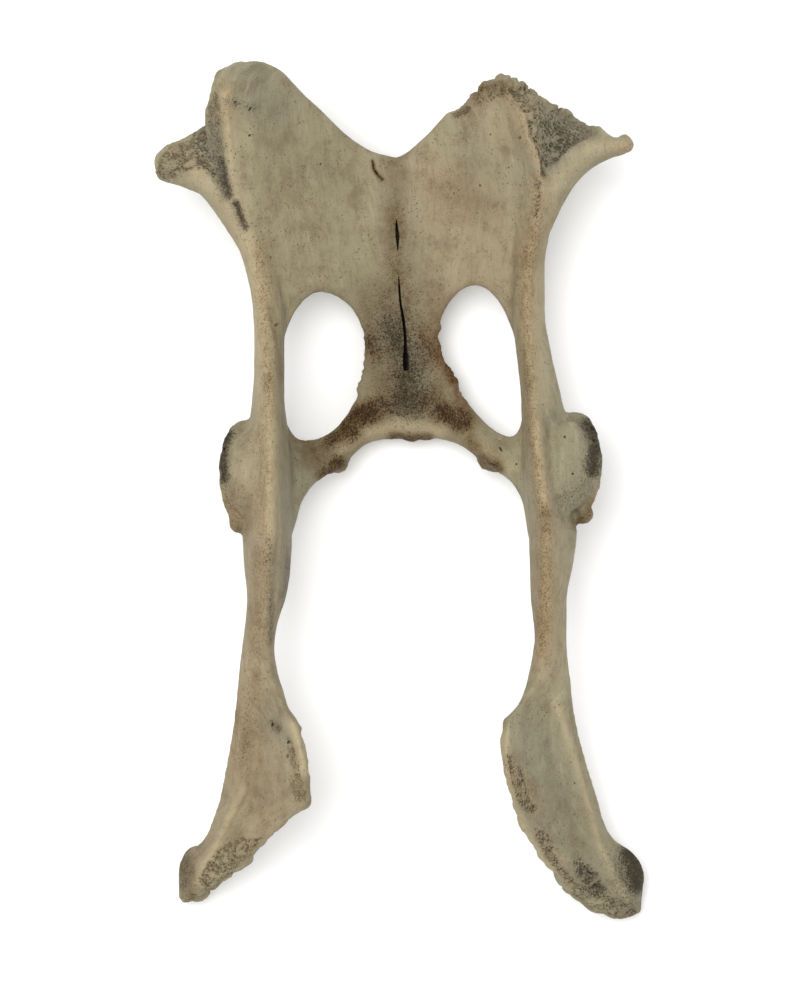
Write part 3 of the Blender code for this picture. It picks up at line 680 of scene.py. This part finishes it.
# Worn and gnawed edges: the line, the width of the rough band and how high its lumps are.
ROUGH = [
    ([(237, 427), (222, 440), (219, 465), (222, 495), (228, 512)], 2.6, 0.35),
    ([(580, 419), (596, 430), (600, 455), (598, 480), (590, 502)], 2.8, 0.35),
    ([(206, 110), (214, 95), (215, 80), (224, 72), (240, 66)], 1.8, 0.9),
    ([(471, 98), (481, 86), (495, 82), (508, 84), (522, 88)], 2.4, 1.6),
    ([(449, 112), (466, 104), (481, 84), (508, 84), (525, 88), (545, 100), (575, 117), (600, 131)],
     1.8, 0.8),
    ([(155, 172), (160, 158), (172, 146)], 1.6, 0.6),
    ([(622, 136), (631, 145), (627, 155)], 1.2, 0.6),
    ([(309, 800), (294, 808), (282, 822), (262, 840), (244, 866), (222, 885), (196, 902), (186, 906)],
     1.6, 0.9),
    ([(301, 725), (303, 750), (308, 790)], 1.4, 0.6),
    ([(502, 722), (506, 765), (516, 806), (523, 832), (545, 860), (564, 893), (580, 898), (600, 915),
              (628, 922), (641, 914)], 1.6, 0.8),
    ([(321, 472), (338, 476), (345, 460)], 1.8, 0.6),
    ([(479, 460), (486, 468), (500, 468)], 1.8, 0.6),
    ([(366, 330), (362, 352), (364, 372), (360, 396)], 1.8, 1.5),
    ([(440, 330), (445, 352), (450, 372), (462, 398)], 1.8, 1.4),
    ([(392, 437), (410, 440), (430, 437)], 2.2, 0.6),
    ([(576, 526), (590, 518), (592, 508)], 2.0, 0.5),
]

# Where the symphysis has not closed, and a short crack beside it: the line, half the gap's width along it,
# and its depth.
SLITS = [
    ([(396.4, 219), (396.8, 228), (397.5, 236), (397.8, 250)], (0.12, 0.5, 0.65, 0.1), 6.0),
    ([(398.7, 275), (399.3, 288), (400.3, 302), (403.3, 318), (405.3, 336), (405.3, 348), (405.7, 356),
      (406, 370)],
     (0.1, 0.35, 0.35, 0.45, 0.45, 0.5, 0.95, 0.8), 6.0),
    ([(372.6, 160), (373.5, 168), (377, 174), (382.5, 179)], (0.2, 0.22, 0.2, 0.1), 1.6),
]
SLIT_STEPS = 24
SLIT_RAGGED = 0.25
ABOVE = 9.0

# Single holes for blood vessels and large pores: pixel, the two radii, and the turn of the longer one.
HOLES = [
    ((277, 325), (0.5, 1.4), 8), ((271, 258), (0.4, 0.6), 40), ((564, 437), (0.4, 0.4), 0),
    ((572, 474), (0.35, 0.4), 0), ((590, 475), (0.5, 0.9), 60), ((516.6, 464), (0.35, 0.4), 0),
    ((500.8, 449), (0.35, 1.0), -25), ((519, 139), (0.4, 0.9), 0), ((480, 185.6), (0.4, 0.4), 0),
    ((508.6, 168), (0.3, 0.3), 0), ((490.3, 135), (0.3, 0.4), 0), ((250.4, 137), (0.4, 0.5), 60),
    ((251, 110.5), (0.35, 0.8), 70), ((236.4, 104), (0.4, 0.5), 0), ((320.8, 164), (0.3, 0.3), 0),
    ((592.6, 874.5), (0.5, 1.6), 10), ((598, 887), (0.6, 1.6), 20), ((581, 871.6), (0.7, 1.3), 30),
    ((273, 724), (0.6, 1.0), 30), ((289, 741), (0.4, 0.7), 0), ((293, 748), (0.6, 1.1), 20),
    ((288, 755), (0.45, 0.8), 40), ((574.3, 783), (0.25, 0.3), 0), ((224.5, 449), (0.5, 0.6), 0),
    ((593.5, 440), (0.4, 0.5), 0), ((592, 428), (0.6, 0.9), 50), ((542.7, 405), (0.35, 0.5), 0),
]


# How the marks are carved: what counts as facing up for the pores and as not underneath for the worn edges
# (by the upward part of the normal), the general unevenness, a hole's depth, and the height above the table
# below which the bone is eased to rest on it.
FACING_UP = (-0.25, 0.15)
NOT_UNDERNEATH = (-0.9, -0.3)
UNEVEN = 0.14
HOLE_DEPTH = 1.8
TOUCH = 1.5


def mesh_points(mesh):
    points, normals = np.empty(len(mesh.vertices) * 3), np.empty(len(mesh.vertices) * 3)
    mesh.vertices.foreach_get("co", points)
    mesh.vertex_normals.foreach_get("vector", normals)
    return points.reshape(-1, 3) / MM, normals.reshape(-1, 3)


def move(mesh, points):
    """Moves the vertices, and eases what would sink into the table so that it rests on it."""
    low = points[:, 2] < TOUCH
    points[low, 2] = TOUCH * np.exp(points[low, 2] / TOUCH - 1)
    mesh.vertices.foreach_set("co", (points * MM).ravel())
    mesh.update()


def refine(mesh, wanted):
    """Halves the mesh size where it is wanted, for marks finer than the remesh can hold."""
    bm = bmesh.new()
    bm.from_mesh(mesh)
    edges = [e for e in bm.edges if wanted[e.verts[0].index] and wanted[e.verts[1].index]]
    bmesh.ops.subdivide_edges(bm, edges=edges, cuts=1, use_grid_fill=True)
    bm.to_mesh(mesh)
    bm.free()


def sculpt(mesh):
    """Ridges, grooves, worn edges and the slight unevenness of the whole bone."""
    points, normals = mesh_points(mesh)
    flat, upper = points[:, :2], ease(normals[:, 2], -0.2, 0.4)
    rise = UNEVEN * waves(points, 9, 1) + UNEVEN / 2 * waves(points, 2.2, 2)
    for line, height, widths in RELIEF:
        distance, side = from_line(flat, line)
        width = np.where(side > 0, *widths)
        rise += upper * height * np.exp(-((distance / width) ** 2))
    lumps = 0.5 * waves(points, 1.5, 4) + 1.2 * waves(points, 3.6, 5)
    for line, width, height in ROUGH:
        distance = from_line(flat, line)[0]
        band = np.exp(-((distance / width) ** 2)) * ease(normals[:, 2], *NOT_UNDERNEATH)
        rise += height * lumps * band
    move(mesh, points + normals * rise[:, None])


def open_pores(mesh):
    """Sinks the broken patches, opens the pores in them, and keeps how open they are as an attribute."""
    points, normals = mesh_points(mesh)
    refine(mesh, max_share(points, normals) > 0.01)
    points, normals = mesh_points(mesh)
    upper = ease(normals[:, 2], *FACING_UP)
    sink, opened = np.zeros(len(points)), np.zeros(len(points))
    for seed, (outline, sunk, size, depth, turn, stretch) in enumerate(SPONGY):
        share = spongy_share(points[:, :2], outline) * upper
        here = share > 0.01
        if not here.any():
            continue
        pore = np.zeros(len(points))
        pore[here] = pores(points[here], size, turn, stretch, seed)
        sink += share * (sunk + depth * pore)
        opened = np.maximum(opened, share * pore)
    move(mesh, points - normals * sink[:, None])
    attribute = mesh.attributes.new("open", "FLOAT", "POINT")
    attribute.data.foreach_set("value", opened.astype(np.float32))


def max_share(points, normals):
    upper = ease(normals[:, 2], *FACING_UP)
    return upper * np.max([spongy_share(points[:, :2], patch[0]) for patch in SPONGY], axis=0)


def slit_cutter(line, halves, depth):
    rings = []
    steps = np.linspace(0, 1, SLIT_STEPS)
    places = np.linspace(0, 1, len(line))
    xs, ys = (np.interp(steps, places, column) for column in on_bone(line).T)
    for x, y, half in zip(xs, ys, np.interp(steps, places, halves)):
        out = x - midline(y)
        swell = SYMPHYSIS_THICK * math.exp(-((out / SYMPHYSIS_WIDTH) ** 2))
        skin = floor_height(out, y) + FLOOR_THICK + swell
        low, high = skin - depth, skin + ABOVE
        half = half * (1 + SLIT_RAGGED * noise.noise(Vector((y, 0, 0))))
        rings.append([(x - half, y, low), (x + half, y, low), (x + half, y, high), (x - half, y, high)])
    return loft("slit", rings)


def hole_cutters(bone):
    """Short bores that start at the bone's surface under their pixel."""
    tree = BVHTree.FromObject(bone, bpy.context.evaluated_depsgraph_get())
    made = []
    for pixel, (short, long), turn in HOLES:
        x, y = on_bone(pixel)
        hit, normal = tree.ray_cast(Vector((x, y, 90)) * MM, Vector((0, 0, -1)))[:2]
        if hit is not None:
            upright = normal.to_track_quat("Z", "Y").to_matrix().to_4x4()
            turned = upright @ Matrix.Rotation(math.radians(turn), 4, "Z")
            made.append(ellipsoid(hit / MM, (short, long, HOLE_DEPTH), turned))
    return made


def halve(bone, side):
    """Cuts the bone off at the symphysis, where its other half begins."""
    lean = math.atan2(MIDLINE_AT_PUBIS - MIDLINE_AT_ARCH, Y_ARCH - Y_PUBIS)
    bm = bmesh.new()
    bm.from_mesh(bone.data)
    point = Vector((midline(0), 0, 0)) * MM
    facing = Vector((-side * math.cos(lean), -side * math.sin(lean), 0))
    everything = [*bm.verts, *bm.edges, *bm.faces]
    bmesh.ops.bisect_plane(
        bm, geom=everything, dist=1e-7, plane_co=point, plane_no=facing, clear_outer=True,
    )
    rim = [edge for edge in bm.edges if edge.is_boundary]
    bmesh.ops.triangulate(bm, faces=bmesh.ops.holes_fill(bm, edges=rim, sides=0)["faces"])
    bmesh.ops.recalc_face_normals(bm, faces=bm.faces)
    bm.to_mesh(bone.data)
    bm.free()


# Colour that follows the bone, painted highlights and shade among it: for each tint, lines with a width in
# millimetres and a strength.
PAINT = {
    "warm": [
        ([(430, 190), (500, 250), (470, 300)], 17, 0.8), ([(230, 700), (270, 830)], 13, 0.9),
        ([(262, 560), (250, 660)], 8, 0.7), ([(545, 540), (540, 660)], 7, 0.7),
        ([(480, 110), (520, 150)], 9, 0.7),
        ([(290, 220), (300, 270)], 10, 0.3), ([(240, 470), (240, 510)], 6, 0.6),
        ([(185, 870), (215, 840)], 6, 0.6),
    ],
    "grey": [
        ([(250, 80), (275, 105)], 8, 0.8), ([(560, 130), (545, 160)], 11, 1.0),
        ([(590, 420), (592, 480)], 8, 0.6),
        ([(560, 440), (570, 490)], 9, 0.5), ([(535, 740), (575, 860)], 12, 0.7),
        ([(300, 470), (290, 500)], 9, 0.6),
        ([(205, 130), (222, 190)], 5, 0.7), ([(190, 150), (165, 172)], 6, 0.3),
        ([(630, 870), (635, 900)], 7, 0.8),
        ([(398, 190), (400, 330)], 7, 0.6), ([(550, 230), (548, 340)], 5, 0.4),
        ([(465, 130), (470, 165)], 6, 0.5),
        ([(296, 520), (288, 590)], 4, 0.6), ([(275, 715), (285, 730)], 5, 0.6),
    ],
    "umber_and_socket_shade": [
        ([(245, 720), (262, 800)], 12, 0.35), ([(560, 800), (590, 860)], 9, 0.3),
        ([(300, 160), (330, 180)], 14, 0.2),
        ([(396, 160), (396, 230)], 4.5, 0.6), ([(396, 240), (398, 300)], 7.0, 0.6),
        ([(382, 300), (380, 350), (395, 400)], 9.0, 1.0), ([(416, 300), (424, 340), (436, 390)], 9.0, 0.8),
        ([(318, 448), (345, 438), (352, 422), (395, 402), (432, 402), (456, 416)], 6.5, 1.3),
        ([(440, 420), (490, 450)], 4.5, 0.6),
        ([(300, 452), (316, 444)], 3.0, 0.4), ([(200, 850), (235, 835)], 5.0, 0.5),
        ([(183, 850), (190, 890)], 4.0, 0.8),
        ([(545, 215), (540, 260)], 3.0, 0.5), ([(260, 545), (257, 650)], 3.0, 0.5),
        ([(541, 560), (542, 640)], 3.0, 0.4),
        ([(226, 495), (236, 525)], 4.0, 0.5), ([(582, 520), (590, 508)], 3.0, 0.6),
        ([(470, 100), (500, 88)], 3.5, 0.6),
        ([(222, 100), (224, 200), (240, 240)], 2.0, 0.6), ([(455, 190), (480, 205)], 6.0, 0.5),
        ([(512, 760), (520, 810)], 4.0, 0.5), ([(296, 735), (303, 790)], 4.0, 0.5),
    ],
    "painted_highlight": [
        # Painted highlight along ridge crests and rims.
        ([(226, 96), (231, 136), (234, 177), (246, 231), (254, 262), (264, 300)], 1.9, 1.0),
        ([(254, 262), (258, 330), (262, 390), (271, 440), (272, 500), (268, 540)], 2.6, 0.8),
        ([(198, 176), (215, 188), (232, 215), (246, 250)], 2.4, 0.8),
        ([(522, 110), (529, 140), (541, 172)], 1.8, 0.6),
        ([(534, 425), (539, 457), (541, 480), (546, 503)], 1.5, 1.0),
        ([(548, 190), (590, 152), (622, 145)], 2.6, 0.6), ([(548, 200), (538, 300), (542, 400)], 2.2, 0.5),
        ([(553, 700), (570, 742), (584, 788), (593, 817), (601, 847), (615, 876), (629, 905)], 1.3, 0.6),
        ([(294, 725), (301, 745), (304, 770)], 2.0, 0.9),
        ([(504, 735), (508, 790), (525, 835), (550, 870)], 1.8, 0.7),
        ([(245, 790), (226, 826), (211, 856), (197, 883)], 1.5, 0.7),
        ([(370, 433), (400, 425), (440, 431)], 2.6, 0.8),
        ([(340, 452), (370, 433)], 2.2, 0.6), ([(470, 440), (490, 452), (510, 470)], 2.0, 0.4),
    ],
    "tan": [
        ([(261, 250), (264, 300), (267, 350), (267, 400), (264, 440), (266, 470), (262, 500),
          (263, 560)], 2.7, 0.9),
        ([(263, 560), (257, 640), (250, 700), (243, 760)], 3.2, 0.45),
        ([(538, 180), (536, 210), (534, 235), (527, 250), (524, 300), (527, 350), (529, 400), (532, 440),
          (537, 475),
          (541, 505), (545, 535), (544, 600), (540, 650)], 2.7, 1.0),
        ([(226, 90), (230, 120)], 2.2, 0.6), ([(507, 98), (520, 118), (527, 135), (535, 160)], 2.4, 0.6),
        ([(437, 180), (452, 205)], 5.5, 0.35), ([(227, 500), (238, 520)], 2.6, 0.6),
        ([(508, 760), (534, 806)], 2.2, 0.8),
        ([(540, 835), (572, 884)], 1.8, 0.8), ([(600, 492), (590, 505)], 2.2, 0.6),
        ([(175, 158), (205, 165)], 3.5, 0.5),
        ([(630, 145), (618, 150)], 1.8, 0.6),
    ],
    "brown": [
        ([(356, 418), (372, 409)], 4.0, 1.0), ([(346, 426), (352, 432)], 3.0, 0.8),
        ([(378, 398), (392, 408)], 3.0, 0.7),
        ([(330, 440), (342, 434)], 2.4, 0.7),
        ([(386, 402), (410, 396), (432, 400)], 4.5, 0.55), ([(403, 375), (406, 396)], 4.5, 0.6),
        ([(370, 338), (374, 354)], 3.0, 0.8), ([(424, 342), (438, 354)], 4.6, 0.8),
        ([(443, 412), (464, 421)], 3.8, 1.1),
        ([(447, 346), (455, 378)], 2.6, 1.2), ([(322, 474), (340, 462)], 2.6, 1.1),
        ([(482, 460), (498, 467)], 2.8, 1.1),
        ([(470, 438), (483, 457)], 2.2, 0.7), ([(394, 438), (428, 439)], 2.0, 1.2),
        ([(578, 524), (590, 512)], 2.4, 0.7),
        ([(268, 378), (268, 390)], 1.8, 0.6), ([(529, 370), (529, 388)], 1.8, 0.5),
        ([(545, 512), (544, 532)], 2.2, 0.6),
        ([(382, 160), (388, 164)], 1.8, 0.5),
        # A thin dark brown line along the short crack: painted shade in the crack.
        ([(372.6, 160), (373.5, 168), (377, 174), (382.5, 179)], 0.7, 1.2),
        ([(233, 516), (238, 528)], 1.6, 0.4), ([(455, 116), (466, 111)], 1.6, 0.5),
        ([(257, 670), (250, 715), (240, 760)], 3.2, 0.3), ([(476, 90), (500, 90)], 2.6, 0.5),
        ([(181, 855), (186, 885)], 3.4, 0.5), ([(396, 216), (398, 245)], 4.0, 0.5),
        ([(398, 262), (402, 345)], 5.0, 0.5),
    ],
    "rust": [([(441, 332), (446, 352), (456, 378), (463, 394)], 3.4, 0.9),
    ([(446, 300), (441, 318)], 2.0, 0.25)],
    "grime_and_shade": [
        # The first two strokes, along the rims of the hip sockets, are painted shade; the rest is grey-black
        # grime.
        ([(228, 432), (222, 450), (224, 478)], 2.2, 1.0), ([(588, 425), (596, 440), (592, 470)], 3.0, 1.0),
        ([(222, 480), (240, 500)], 4.5, 0.3), ([(590, 476), (570, 500)], 5.0, 0.35),
        ([(395, 330), (408, 360), (410, 400)], 6.5, 0.75),
        ([(632, 855), (641, 885)], 4.5, 1.1), ([(624, 865), (630, 905)], 5.0, 0.5),
        ([(184, 860), (182, 885)], 2.4, 0.5), ([(585, 872), (600, 890)], 2.6, 0.7),
        ([(220, 165), (228, 194)], 2.2, 0.9), ([(236, 204), (246, 228)], 1.3, 0.9),
        ([(232, 104), (256, 110)], 2.2, 0.4),
        ([(273, 722), (278, 728)], 1.6, 0.6), ([(270, 540), (272, 640)], 1.3, 0.4),
        ([(290, 560), (283, 610)], 1.6, 0.4),
    ],
}


def paint(mesh, form):
    """Writes each tint's strength, and the distance across the limb that its grain follows, as attributes."""
    points, normals = mesh_points(mesh)
    flat, upper = points[:, :2], ease(normals[:, 2], -0.7, 0.0)
    layers = {"spongy": max_share(points, normals)}
    for tint, strokes in PAINT.items():
        share = [
            strength * np.exp(-((from_line(flat, line)[0] / width) ** 2))
            for line, width, strength in strokes
        ]
        layers[tint] = upper * np.max(share, axis=0)
    from_mouth = np.linalg.norm(points - np.array(socket_place(form)[0]), axis=1)
    # Inside each hip socket the bone is painted darker with umber and grey: painted shade in the cup.
    layers["umber_and_socket_shade"] = np.maximum(layers["umber_and_socket_shade"], 0.9 * ease(from_mouth, SOCKET_RADIUS, SOCKET_DEPTH))
    layers["grime_and_shade"] = np.maximum(layers["grime_and_shade"], 0.6 * ease(from_mouth, SOCKET_RADIUS, SOCKET_DEPTH - 1))
    ridge = through(form["ridge"], flat[:, 1])
    layers["across"] = (form["side"] * flat[:, 0] - ridge) * MM
    # Inside the symphysis slits, below the floor's top, the bone is painted near black: painted shade in the
    # gaps.
    slit = [np.exp(-((from_line(flat, line)[0] / 0.9) ** 2)) for line, _, depth in SLITS if depth > 2]
    layers["slit"] = np.max(slit, axis=0) * (points[:, 2] < floor_height_of(flat) - 0.8)
    for name, values in layers.items():
        attribute = mesh.attributes.new(name, "FLOAT", "POINT")
        attribute.data.foreach_set("value", values.astype(np.float32))


def floor_height_of(flat):
    """Height of the floor's upper side beside the symphysis."""
    return through(FLOOR_MIDDLE, flat[:, 1]) + FLOOR_THICK + SYMPHYSIS_THICK


LIGHT_ON_BONE = 1.22
SHEEN_ON_BONE = 0.008


def seen_as(red, green, blue):
    """The surface colour that looks like this screen colour under the scene's light."""
    linear = [((c / 255 + 0.055) / 1.055) ** 2.4 if c > 10 else c / 255 / 12.92 for c in (red, green, blue)]
    return (*[max(c - SHEEN_ON_BONE, 0.001) / LIGHT_ON_BONE for c in linear], 1)


class Wire:
    """A socket in a material. Sums with it add Math nodes, and node() adds any other node beside it."""

    def __init__(self, tree, socket=None):
        self.tree, self.socket = tree, socket

    def node(self, kind, settings=(), inputs=(), output=0):
        made = self.tree.nodes.new("ShaderNode" + kind)
        for name, value in dict(settings).items():
            setattr(made, name, value)
        for name, value in dict(inputs).items():
            if isinstance(value, Wire):
                self.tree.links.new(value.socket, made.inputs[name])
            else:
                made.inputs[name].default_value = value
        return Wire(self.tree, made.outputs[output])

    def sum(self, operation, first, second):
        return self.node("Math", {"operation": operation}, {0: first, 1: second})

    def __add__(self, other):
        return self.sum("ADD", self, other)

    def __sub__(self, other):
        return self.sum("SUBTRACT", self, other)

    def __rsub__(self, other):
        return self.sum("SUBTRACT", other, self)

    def __mul__(self, other):
        return self.sum("MULTIPLY", self, other)

    __radd__ = __add__
    __rmul__ = __mul__

    def between(self, low, high):
        """0 below low and 1 above high, with a soft rise between them."""
        inputs = {"Value": self, "From Min": low, "From Max": high}
        return self.node("MapRange", {"interpolation_type": "SMOOTHSTEP"}, inputs)

    def tinted(self, colour, share, blend="MIX"):
        """This colour, mixed with another by a share."""
        settings = {"data_type": "RGBA", "blend_type": blend, "clamp_factor": True}
        return self.node("Mix", settings, {0: share, 6: self, 7: colour}, 2)


def bone_material():
    material = bpy.data.materials.new("weathered_bone")
    material.use_nodes = True
    shader = material.node_tree.nodes["Principled BSDF"]
    start = Wire(material.node_tree)
    place = start.node("TexCoord", output=3)
    tint = {name: start.node("Attribute", {"attribute_name": name}, output=2)
            for name in (*PAINT, "spongy", "open", "across", "slit")}

    def clouds(size, detail=3.0, rough=0.6, vector=place):
        """Noise from 0 to 1 with features of a size in millimetres."""
        inputs = {"Vector": vector, "Scale": 1 / (size * MM), "Detail": detail, "Roughness": rough}
        return start.node("TexNoise", {}, inputs)

    def dots(size, vector=place):
        """The distance to the nearest of points strewn at random, in cell sizes."""
        return start.node("TexVoronoi", {}, {"Vector": vector, "Scale": 1 / (size * MM), "Randomness": 1.0})

    along = start.node("SeparateXYZ", {}, {"Vector": place}, 1)
    height = start.node("SeparateXYZ", {}, {"Vector": place}, 2)
    fibres = start.node("CombineXYZ", {}, {"X": tint["across"], "Y": along * 0.16, "Z": height * 0.6})

    broad, patchy, fine = clouds(26), clouds(6, 4), clouds(1.3, 4, 0.7)
    grain, streaks = clouds(0.9, 3, 0.7, fibres), clouds(2.4, 4, 0.7, fibres)
    colour = start.node("Mix", {"data_type": "RGBA"}, {
        0: broad.between(0.35, 0.65) * 0.6, 6: seen_as(157, 149, 121), 7: seen_as(147, 139, 113),
    }, 2)
    colour = colour.tinted(seen_as(165, 147, 120), tint["warm"] * (0.55 + patchy * 0.5))
    colour = colour.tinted(seen_as(135, 131, 113), tint["grey"] * (0.35 + patchy * 0.8))
    colour = colour.tinted(seen_as(128, 115, 90), patchy.between(0.45, 0.75) * 0.55)
    colour = colour.tinted(seen_as(120, 106, 82), clouds(11, 5, 0.7).between(0.5, 0.68) * 0.5)
    colour = colour.tinted(seen_as(176, 166, 140), streaks.between(0.52, 0.7) * 0.45)
    colour = colour.tinted(seen_as(122, 110, 86), streaks.between(0.47, 0.3) * 0.4)
    uneven = streaks * 0.4 + patchy * 0.9 + fine * 0.4 - 0.15
    # Umber stains, and painted shade inside the hip sockets.
    colour = colour.tinted(seen_as(104, 88, 64), tint["umber_and_socket_shade"] * uneven)
    # Painted highlight along the ridges and rims.
    colour = colour.tinted(seen_as(186, 171, 138), tint["painted_highlight"] * (0.5 + fine * 0.6))
    grit, blotches = clouds(0.65, 3, 0.9), clouds(2.2, 4, 0.75)
    # Fine pits drawn as dark dots and sunk by the bump: painted shade in them, with dirt where the bone is
    # stained or spongy.
    pits = dots(0.62).between(0.42, 0.2) * grit.between(0.3, 0.55)
    colour = colour.tinted(seen_as(173, 148, 112), tint["tan"] * (0.1 + grain * 0.65))
    dark_dots = (blotches * 0.6 + grit * 0.9).between(0.68, 0.95)
    colour = colour.tinted(seen_as(116, 91, 61), tint["tan"] * dark_dots * 0.85)
    # Brown stains, and the painted shade of the short crack.
    stain_and_crack_shade = tint["brown"] * (0.3 + patchy * 1.3)
    colour = colour.tinted(seen_as(104, 82, 50), (stain_and_crack_shade + blotches * 0.6 - 0.3).between(0.0, 1.0) * 0.75)
    # Where the bone is stained, with the painted shade of the sockets and the crack, it gets darkest spots.
    soak_and_shade = (stain_and_crack_shade + tint["umber_and_socket_shade"] * 0.5).between(0.1, 1.6)
    black = soak_and_shade * 0.55 + blotches * 0.6 + grit * 1.6
    colour = colour.tinted(seen_as(48, 33, 16), black.between(1.42, 1.68) * 0.9)
    rusty = (patchy * 0.7 + grit * 0.7).between(0.35, 0.9)
    colour = colour.tinted(seen_as(112, 68, 40), tint["rust"] * rusty * 0.7)
    # Grey-black grime, with painted shade at the rims and insides of the hip sockets.
    colour = colour.tinted(seen_as(104, 98, 84), (tint["grime_and_shade"] * (0.3 + patchy * 0.8)) * 0.8)
    dark_spots = tint["grime_and_shade"] * 0.5 + blotches * 0.5 + grit * 1.4
    colour = colour.tinted(seen_as(48, 43, 33), dark_spots.between(1.05, 1.45) * 0.9)
    colour = colour.tinted(seen_as(126, 121, 108), tint["spongy"] * tint["grey"] * 0.6)
    colour = colour.tinted(seen_as(156, 140, 110), tint["spongy"] * fine.between(0.45, 0.62) * 0.4)
    pitted = tint["spongy"] * 0.4 + tint["grime_and_shade"] * 0.4
    for stained in ("tan", "umber_and_socket_shade", "brown"):
        pitted = pitted + tint[stained] * 0.5
    colour = colour.tinted(seen_as(62, 52, 38), pits * pitted.between(0.05, 0.9) * 0.75)
    speckle = dots(1.5).between(0.26, 0.1) * clouds(9).between(0.46, 0.62)
    colour = colour.tinted(seen_as(92, 78, 56), speckle * 0.65)
    specks = dots(0.75).between(0.3, 0.12) * (clouds(5).between(0.45, 0.62) + tint["grime_and_shade"])
    colour = colour.tinted(seen_as(84, 70, 50), specks * 0.6)
    colour = colour.tinted(seen_as(116, 104, 80), grain.between(0.55, 0.72) * 0.4)
    # Darker inside the opened pores: painted shade in them, with dirt.
    pore_shade_and_dirt = tint["open"].between(0.15, 0.9) * (0.38 + tint["grey"] * 0.27)
    colour = colour.tinted(seen_as(74, 63, 47), pore_shade_and_dirt)
    # Painted shade: near black inside the symphysis slits.
    colour = colour.tinted(seen_as(8, 6, 5), tint["slit"])
    height_of_skin = grain * 0.5 + fine * 0.4 - speckle * 0.5 - specks * 0.3 - pits * pitted
    bump = start.node("Bump", {}, {"Height": height_of_skin, "Distance": 0.0004, "Strength": 0.6})
    rough = 0.5 + patchy * 0.2 + tint["spongy"] * 0.2
    for name, wire in (("Base Color", colour), ("Roughness", rough), ("Normal", bump)):
        material.node_tree.links.new(wire.socket, shader.inputs[name])
    shader.inputs["Specular IOR Level"].default_value = 0.1
    return material


SHARP_FOLD = math.radians(50)
BONE = bone_material()
for key, form in (("right", RIGHT), ("left", LEFT)):
    bone = hip_bone(form)
    bone.name = "hip_bone_" + key
    sculpt(bone.data)
    open_pores(bone.data)
    slits = [slit_cutter(*slit) for slit in SLITS]
    cut_away(bone, slits + hole_cutters(bone))
    halve(bone, form["side"])
    paint(bone.data, form)
    bone.data.materials.clear()
    bone.data.materials.append(BONE)
    bone.data.shade_smooth()
    bone.data.set_sharp_from_angle(angle=SHARP_FOLD)
    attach(bone, "root")
    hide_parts(*[f"{name}_{key}" for name in ("ilium", "ischium", "pubis")])


# The table
# A plain white table top, well larger than any view of the bone.

TABLE_REACH = 3.0
TABLE_BELOW = 0.0001
turns = ((-1, -1), (1, -1), (1, 1), (-1, 1))
corners = [(x * TABLE_REACH, y * TABLE_REACH, -TABLE_BELOW) for x, y in turns]
top = bpy.data.meshes.new("table_top")
top.from_pydata(corners, [], [(0, 1, 2, 3)])
table = bpy.data.objects.new("table_top", top)
bpy.context.scene.collection.objects.link(table)
white = bpy.data.materials.new("white_table")
white.use_nodes = True
surface = white.node_tree.nodes["Principled BSDF"].inputs
surface["Base Color"].default_value = (0.85, 0.85, 0.85, 1)
surface["Roughness"].default_value = 0.9
surface["Emission Color"].default_value = (1, 1, 1, 1)
surface["Emission Strength"].default_value = 0.08
top.materials.append(white)


# The light
# A pale studio all round, and one large soft lamp high at the upper left of the photograph.

world = bpy.data.worlds.new("studio")
world.use_nodes = True
world.node_tree.nodes["Background"].inputs["Color"].default_value = (1, 1, 1, 1)
world.node_tree.nodes["Background"].inputs["Strength"].default_value = 0.95
bpy.context.scene.world = world
lamp = bpy.data.objects.new("lamp", bpy.data.lights.new("lamp", "SUN"))
lamp.data.energy = 2.0
lamp.data.angle = math.radians(34)
lamp.rotation_euler = Vector((0.19, -0.15, -1)).to_track_quat("-Z", "Y").to_euler()
bpy.context.scene.collection.objects.link(lamp)
bpy.context.scene.view_settings.view_transform = "Standard"


# The camera
# It looks straight down through a long lens, as the photograph was taken.

VIEW_HEIGHT = 0.305
CAMERA_HEIGHT = 4.0
CAMERA_Y = -0.002745
BONE_MIDDLE_HEIGHT = 0.03
camera = bpy.data.objects.new("camera", bpy.data.cameras.new("camera"))
bpy.context.scene.collection.objects.link(camera)
camera.location = (0, CAMERA_Y, CAMERA_HEIGHT)
camera.data.lens = camera.data.sensor_width * (CAMERA_HEIGHT - BONE_MIDDLE_HEIGHT) / VIEW_HEIGHT
camera.data.clip_end = 20
bpy.context.scene.camera = camera
